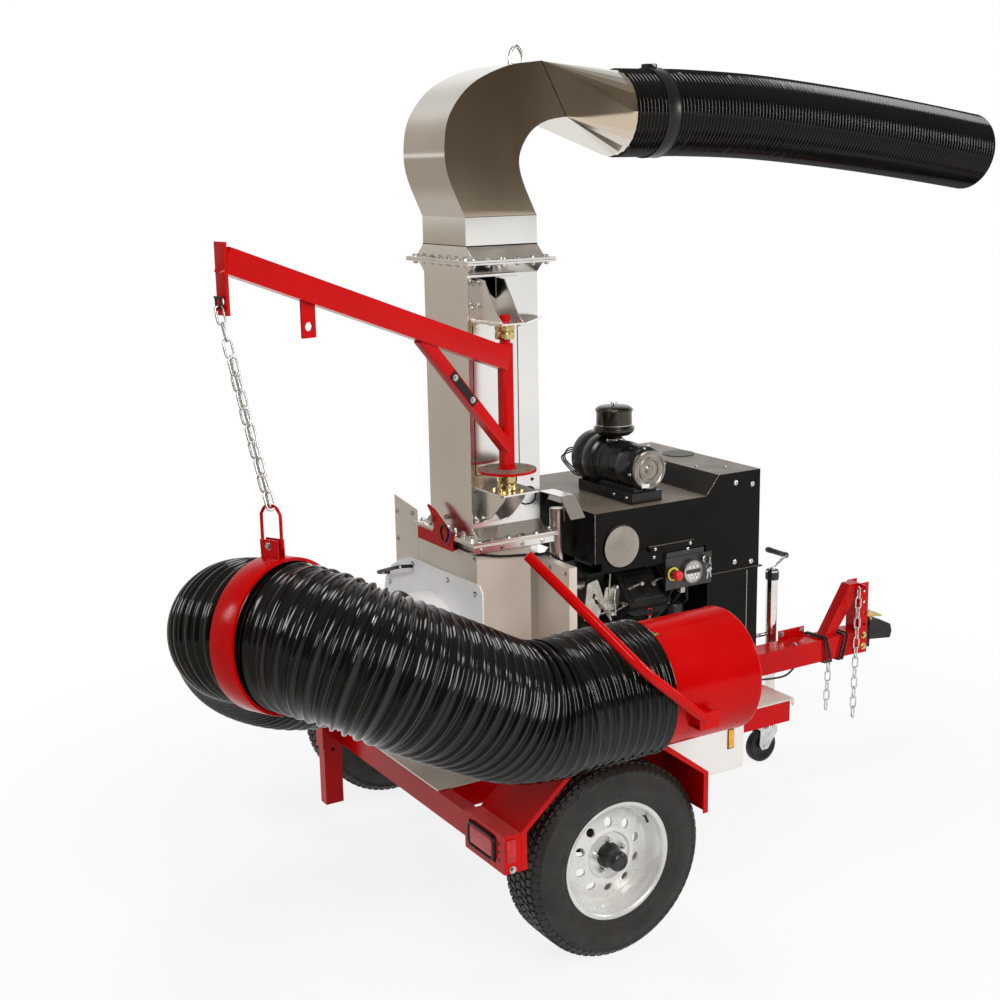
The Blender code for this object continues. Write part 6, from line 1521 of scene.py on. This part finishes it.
for k, (turn, drop) in enumerate(((0.18, 0.03), (-0.22, 0.033))):
    top = at(KEY[0] + 0.003 * (1 - 2 * k), PANEL_Y - 0.0305 - 0.0025 * k, KEY[1] - drop)
    bow = [(0.0095 * math.cos(math.tau * s / 14), 0.0075 * math.sin(math.tau * s / 14) - 0.006) for s in range(14)]
    blade = [(-0.0026, -0.012), (-0.0026, -0.036), (0.0, -0.039), (0.0026, -0.036), (0.002, -0.03), (0.0028, -0.026),
        (0.002, -0.022), (0.0028, -0.012)]
    for outline in (bow, blade):
        points = [top + Vector((a * math.cos(turn) - b * math.sin(turn), 0, a * math.sin(turn) + b * math.cos(turn)))
            for a, b in outline]
        spare.append(thin_plate(points, Vector((0, -0.0014, 0))))
piece("spare_keys", spare, bright_steel, body="key", angle=50)
loom = [rod(smooth_path([at(*p) for p in route], None, 6), 0.0042, 10)
    for route in (((0.7, -0.337, 1.062), (0.698, -0.335, 1.03), (0.69, -0.32, 1.0), (0.7, -0.29, 0.975)),
    ((0.725, -0.337, 1.062), (0.728, -0.336, 1.02), (0.735, -0.325, 0.985), (0.73, -0.285, 0.965)),
    ((0.66, -0.337, 1.062), (0.652, -0.338, 1.04), (0.646, -0.325, 1.018), (0.655, -0.3, 1.0)))]
piece("panel_loom", loom, rubber, angle=60)
plug_block = span(at(0.69, -0.347, 1.028), at(0.712, -0.325, 1.052))
piece("loom_connector", [plug_block], linkage, slot="white_plastic", edge=0.002)


# Discharge hose: black flexible duct with a helical wire inside, clamped over the elbow's
# outlet. It reaches out over the hitch and droops a little.

def ribbed_sleeve(points, outer, depth, pitch, wall, sides, profile):
    """Flexible hose: rounded ribs at an even pitch outside, a plain bore inside, both ends open."""
    per = len(profile)
    rows = travel(evenly(points, round(run_length(points) / pitch) * per + 1))
    work = bmesh.new()
    crest = work.verts.layers.float.new("crest")
    rings = []
    for k, row in enumerate(rows):
        low = profile[k % per]
        rings.append(round_ring(work, row, outer - depth * low, sides))
        for point in rings[-1]:
            point[crest] = 1.0 - low
    rings += [round_ring(work, row, outer - depth - wall, sides) for row in rows[::-per]]
    strip(work, rings + rings[:1])
    bmesh.ops.recalc_face_normals(work, faces=work.faces)
    return work


black_hose = finish("black_hose", (0.002, 0.002, 0.002), (0.004, 0.004, 0.0035), (0.11, 0.17), bump=0.02, grain=90.0,
    specular=0.36)
hose_tree = black_hose.node_tree
crest_seen = hose_tree.nodes.new("ShaderNodeAttribute")
crest_seen.attribute_name = "crest"
link(hose_tree, spread(hose_tree, crest_seen.outputs["Fac"], 0.17, 0.09, 0.15, 0.7),
    hose_tree.nodes["Principled BSDF"].inputs["Roughness"])
discharge_route = smooth_path([at(x, 0.0, z) for x, z in ((0.6303, 2.805), (0.79, 2.805), (0.95, 2.805), (1.3, 2.789),
    (1.75, 2.745), (2.15, 2.695), (2.505, 2.645))], ((1, 0, 0), (0.99, 0, -0.14)))
thin_rib = [0.0, 0.3, 0.75, 0.95, 1.0, 0.95, 0.75, 0.3]
piece("discharge_hose_ribbed", [ribbed_sleeve(discharge_route, 0.1605, 0.0075, 0.0165, 0.003, 96, thin_rib)],
    black_hose, ("discharge_hose",), angle=80)


# Intake hose: the same kind of hose, larger and with bold round ribs. It leaves the inlet
# collar behind the blower, turns up and over to the boom's band and comes back to the nozzle.

intake_route = smooth_path([at(*p) for p in ((-0.24, 0.13, 0.85), (-0.46, 0.13, 0.85), (-0.68, 0.13, 0.85),
    (-0.9, 0.035, 0.97), (-1.035, -0.24, 1.15), (-1.13, -0.555, 1.265), (-1.045, -0.82, 1.29), (-0.86, -0.975, 1.205),
    (-0.63, -0.99, 1.085), (-0.4, -0.95, 0.966), (-0.18, -0.95, 0.966), (0.04, -0.95, 0.966))],
    ((-1, 0, 0), (1, 0, 0)))
intake_route = evenly(intake_route, 121)
for _ in range(18):
    intake_route = [point if k < 8 or k > 106 else (intake_route[k - 1] + point * 2 + intake_route[k + 1]) / 4
        for k, point in enumerate(intake_route)]
bold_rib = [0.0, 0.1, 0.55, 0.95, 0.86, 0.62, 0.86, 0.95, 0.55, 0.1]
intake_hose = piece("intake_hose_ribbed", [ribbed_sleeve(intake_route, 0.2225, 0.013, 0.0365, 0.004, 128, bold_rib)],
    black_hose, ("intake_hose",), body=None, angle=80)
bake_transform(intake_hose)


# Hose clamp: a black strap round the discharge hose where it covers the elbow's outlet,
# drawn tight by a screw in a small housing on top.

strap = turned_about([(0.16, 0.0), (0.1636, 0.0), (0.1643, 0.002), (0.1643, 0.058), (0.1636, 0.06), (0.16, 0.06)],
    at(0.76, 0, 2.805), (1, 0, 0), 96)
lip_rings = [turned_about([(0.164, x), (0.1652, x), (0.1652, x + 0.004), (0.164, x + 0.004)], at(0.76, 0, 2.805),
    (1, 0, 0), 96) for x in (0.001, 0.055)]
screw_box = [span(at(0.765, -0.018, 2.967), at(0.815, 0.018, 2.983))]
piece("clamp_strap", [strap] + lip_rings, black_coat, ("hose_clamp",), angle=30)
piece("clamp_housing", screw_box, black_coat, slot="black_paint", edge=0.003, steps=3)
clamp_screw = [pin(at(0.79, -0.029, 2.977), at(0.79, 0.03, 2.977), 0.0042),
    pin(at(0.79, -0.034, 2.977), at(0.79, -0.028, 2.977), 0.0072)]
piece("clamp_screw", clamp_screw, bright_steel, angle=40)


# Switch bracket: a red plate with a notched arm on top of the blower's neck. It holds the
# interlock switch's pin and a looped strap, bolted down by its foot.

skin("switch_bracket", red_coat, 0.001)
switch_pin = [pin(at(-0.152, 0.07, 1.352), at(-0.118, 0.07, 1.352), 0.0095),
    pin(at(-0.156, 0.07, 1.352), at(-0.15, 0.07, 1.352), 0.013)]
piece("switch_plunger", switch_pin, linkage, angle=40)
foot_bolts = [(at(-0.126, y, 1.2632), (0, 0, 1), y) for y in (-0.035, 0.055, 0.145)]
repeated("switch_bracket_bolts", bolt(0.0062, 0.005), foot_bolts, bright_steel, angle=40)
loop_path = smooth_path([at(-0.1465, -0.03, 1.285), at(-0.148, -0.052, 1.322), at(-0.148, -0.022, 1.35),
    at(-0.147, 0.006, 1.322), at(-0.146, -0.008, 1.286)], None, 6)
piece("switch_strap", [rod(loop_path, 0.0038, 12)], rubber, angle=60)
blue_wire = finish("blue_wire", (0.02, 0.06, 0.3), (0.03, 0.08, 0.38), (0.3, 0.4), bump=0.03)
wire_path = smooth_path([at(-0.148, -0.04, 1.275), at(-0.15, -0.062, 1.3), at(-0.148, -0.07, 1.325),
    at(-0.146, -0.06, 1.345)], None, 6)
piece("switch_wire", [rod(wire_path, 0.0018, 8)], blue_wire, slot="rubber", angle=60)


# Interlock cable: black two-core cable from the switch along the duct's foot to the engine,
# with a small rubber boot at each end.

near = -0.196
cable_route = smooth_path([at(*p) for p in ((-0.1175, -0.02, 1.268), (-0.1175, -0.12, 1.269), (-0.119, -0.18, 1.269),
    (-0.108, near - 0.003, 1.267), (-0.08, near, 1.262), (-0.018, near, 1.248), (0.093, near, 1.236),
    (0.145, near, 1.229), (0.192, -0.2, 1.228), (0.232, -0.208, 1.2), (0.29, -0.21, 1.15), (0.345, -0.21, 1.128))],
    None, 5)
cable = piece("interlock_lead", [rod(cable_route, 0.005, 12)], lead_black, ("interlock_cable",), angle=60)
boots = []
for here, there in ((cable_route[0], cable_route[2]), (cable_route[-1], cable_route[-3])):
    boots.append(turned_about([(0.0, -0.003), (0.0092, -0.003), (0.0092, 0.006), (0.007, 0.01), (0.0064, 0.022),
        (0.0052, 0.024), (0.0, 0.024)], here, there - here, 20))
boots = piece("interlock_boots", boots, rubber, angle=40)


# Boom: square red post in the two bearings, a long box arm on top and a square brace below,
# all welded. A bolted strip backs the brace and a bare indexing disc sits on the post.

POST_AT = at(-0.03, -0.28, 0.0)


def up(height):
    """A step straight up."""
    return Vector((0, 0, height))


root = POST_AT + up(1.973)
tip = at(-1.106, -0.469, 2.372)
arm = tip - root
flat = Vector((arm.x, arm.y, 0)).normalized()
cross = up(1).cross(flat)
skin("boom_frame", red_coat, 0.0028)
brace_low, brace_high = POST_AT + up(1.66), root + arm * 0.335 - up(0.03)
brace_way = (brace_high - brace_low).normalized()
strip_turn = Matrix((brace_way, cross, brace_way.cross(cross))).transposed()
strip_mid = brace_low.lerp(brace_high, 0.56) + cross * 0.0215
piece("brace_strip", [block(strip_mid, (0.15, 0.003, 0.03), strip_turn)], black_coat, slot="black_paint", body="boom",
    edge=0.0008)
strip_bolts = [(brace_low.lerp(brace_high, share) + cross * 0.0228, cross, share) for share in (0.46, 0.66)]
repeated("brace_bolts", bolt(0.0068, 0.005), strip_bolts, bright_steel, body="boom", angle=40)
disc_face = turned_about([(0.034, 0.0), (0.0995, 0.0), (0.0995, 0.0009), (0.034, 0.0009)], POST_AT + up(1.5868),
    sides=64)
disc_holes = [(POST_AT + out * 0.083 + up(1.58), POST_AT + out * 0.083 + up(1.592), 0.0085)
    for out in [Vector((math.cos(math.tau * k / 6), math.sin(math.tau * k / 6), 0)) for k in range(6)]]
disc_tan = finish("disc_tan", (0.24, 0.2, 0.16), (0.32, 0.27, 0.22), (0.35, 0.5), metallic=0.3, patch=14.0)
punched("index_disc_face", disc_face, disc_holes, disc_tan, "boom", ())


def fillet(start, end, radius):
    """A weld bead laid as small overlapping ripples."""
    count = max(int((end - start).length / 0.0045), 2)
    return rod([start.lerp(end, k / count) for k in range(count + 1)],
        [radius * (1.0 if k % 2 else 0.82) for k in range(count + 1)], 8)


POST_HALF = 0.0205
post_corners = [POST_AT + Vector((a * POST_HALF, b * POST_HALF, 1.5885))
    for a, b in ((-1, -1), (1, -1), (1, 1), (-1, 1))]
post_welds = [fillet(here, there, 0.0034) for here, there in zip(post_corners, post_corners[1:] + post_corners[:1])]
for hand in (-1, 1):
    seam = tip - flat * 0.002 + cross * hand * 0.0275
    post_welds.append(fillet(seam - up(0.034), seam + up(0.034), 0.003))
piece("boom_welds", post_welds, red_coat, body="boom", angle=60)


# Boom chain: galvanised welded chain that carries the hose's weight, taken up so that its
# lower part hangs doubled, between a shackle at the tip and the band's link.

hook_start = tip + flat * 0.022 - up(0.1372)
previous, place, following = evenly(intake_route, 401)[217:220]
along = (following - previous).normalized()
side_way = along.cross(up(1)).normalized()
over_way = side_way.cross(along)
lug_bolt = place + over_way * (0.2335 + 0.038)
run = hang(hook_start, lug_bolt + up(0.111), 0.015, 13)
tail_run = [point + cross * 0.016 + flat * 0.006 for point in run[3:]]
piece("boom_chain_links", [chain(run), chain(tail_run)], galvanised, ("boom_chain",), body="boom", angle=60)
shackle = [rod([hook_start + cross * a + up(b) for a, b in ((-0.012, 0.03), (-0.012, 0.008), (-0.008, -0.006),
    (0.008, -0.006), (0.012, 0.008), (0.012, 0.03))], 0.0036, 10),
    pin(hook_start - cross * 0.019 + up(0.028), hook_start + cross * 0.019 + up(0.028), 0.004)]
piece("chain_shackle", shackle, engine_black, slot="zinc", body="boom", angle=50)


# Hose band: a wide red steel ring round the hose with two bolted lugs on top, hung from a
# bent red link by the chain.

band_profile = [(0.224, -0.045), (0.2335, -0.045), (0.2342, -0.043), (0.2342, 0.043), (0.2335, 0.045), (0.224, 0.045)]
piece("band_ring", [turned_about(band_profile, place, along, 96)], red_coat, ("hose_band",), body="boom", angle=30)
lug_turn = Matrix((along, side_way, over_way)).transposed()
lugs = [block(place + over_way * (0.2335 + 0.026) + side_way * s * 0.012, (0.072, 0.005, 0.06), lug_turn)
    for s in (-1, 1)]
piece("band_lugs", lugs, red_coat, body="boom", edge=0.0012)
lug_nuts = [(lug_bolt + side_way * s * 0.0148, side_way * s, 0.3) for s in (-1, 1)]
piece("band_bolt", [pin(lug_bolt - side_way * 0.024, lug_bolt + side_way * 0.024, 0.0056),
    copies(bolt(0.009, 0.007, 1.3), lug_nuts, bright_steel)], bright_steel, body="boom", angle=40)
link_half = [(0.9, -0.0112), (1.0, -0.004), (1.0, 0.092), (0.72, 0.108), (0.46, 0.117)]
link_loop = [lug_bolt + along * 0.039 * a + up(b) for a, b in link_half + [(-a, b) for a, b in reversed(link_half)]]
piece("band_link_rod", [rod(link_loop, 0.005, 14, closed=True)], red_coat, ("band_link",), body="boom", angle=60)


# Nozzle: a rolled and welded red steel tube on the hose's free end, with rolled rims, two
# lap seams and a brass tie at the joint.

NOZZLE = at(0.0403, -0.95, 0.966)
tube_profile = [(0.2015, 0.002), (0.2035, 0.0), (0.206, 0.0), (0.2065, 0.002), (0.2065, 0.34), (0.2078, 0.343),
    (0.2084, 0.347), (0.2078, 0.351), (0.2055, 0.354), (0.202, 0.354), (0.2015, 0.35)]
piece("nozzle_tube", [turned_about(tube_profile, NOZZLE, (1, 0, 0), 128)], red_coat, ("nozzle",), body="boom",
    angle=35)
lap_ways = [Vector((0, math.cos(math.radians(a)), math.sin(math.radians(a)))) for a in (78, 104, 112)]
lap = [rod([NOZZLE + way * 0.2064 + Vector((x, 0, 0)) for x in (0.004, 0.338)], 0.001, 8) for way in lap_ways[:2]]
piece("nozzle_laps", lap, red_coat, body="boom", angle=60)
tie_way = lap_ways[2]
tie_spot = NOZZLE + tie_way * 0.2105 + Vector((0.006, 0, 0))
tie = [pin(tie_spot - Vector((0.016, 0, 0)), tie_spot + Vector((0.022, 0, 0)), 0.0045),
    turned_about(eased([(0.0, 0.0), (0.0085, 0.0), (0.0085, 0.009), (0.0, 0.009)], 0.0012), tie_spot, tie_way, 6)]
piece("nozzle_tie", tie, yellow_zinc, body="boom", angle=40)


# Nozzle handle: a bent red tube welded to the nozzle on a small pad, by which the nozzle is
# steered. Its free end is closed.

grip_points = [at(0.136, -1.19, 0.909), at(-0.103, -1.19, 1.114), at(-0.371, -0.95, 1.472)]
first_way = (grip_points[1] - grip_points[0]).normalized()
second_way = (grip_points[2] - grip_points[1]).normalized()
bend_in, bend_out = grip_points[1] - first_way * 0.07, grip_points[1] + second_way * 0.07
bend = [bend_in * (1 - t) ** 2 + grip_points[1] * 2 * t * (1 - t) + bend_out * t**2
    for t in [k / 12 for k in range(13)]]
tube_run = [grip_points[0]] + bend + [grip_points[2] - second_way * 0.004, grip_points[2]]
piece("handle_tube", [rod(tube_run, [0.0165] * (len(tube_run) - 1) + [0.0125], 28),
    span(at(0.112, -1.194, 0.884), at(0.176, -1.1265, 0.931))], red_coat, ("nozzle_handle",), body="boom", edge=0.006,
    steps=3, angle=45)
angle_piece = [span(at(0.106, -1.1945, 0.8795), at(0.186, -1.14, 0.8835)),
    span(at(0.106, -1.1975, 0.8795), at(0.186, -1.1935, 0.936))]
piece("handle_pad_plate", angle_piece, red_coat, body="boom", edge=0.001)
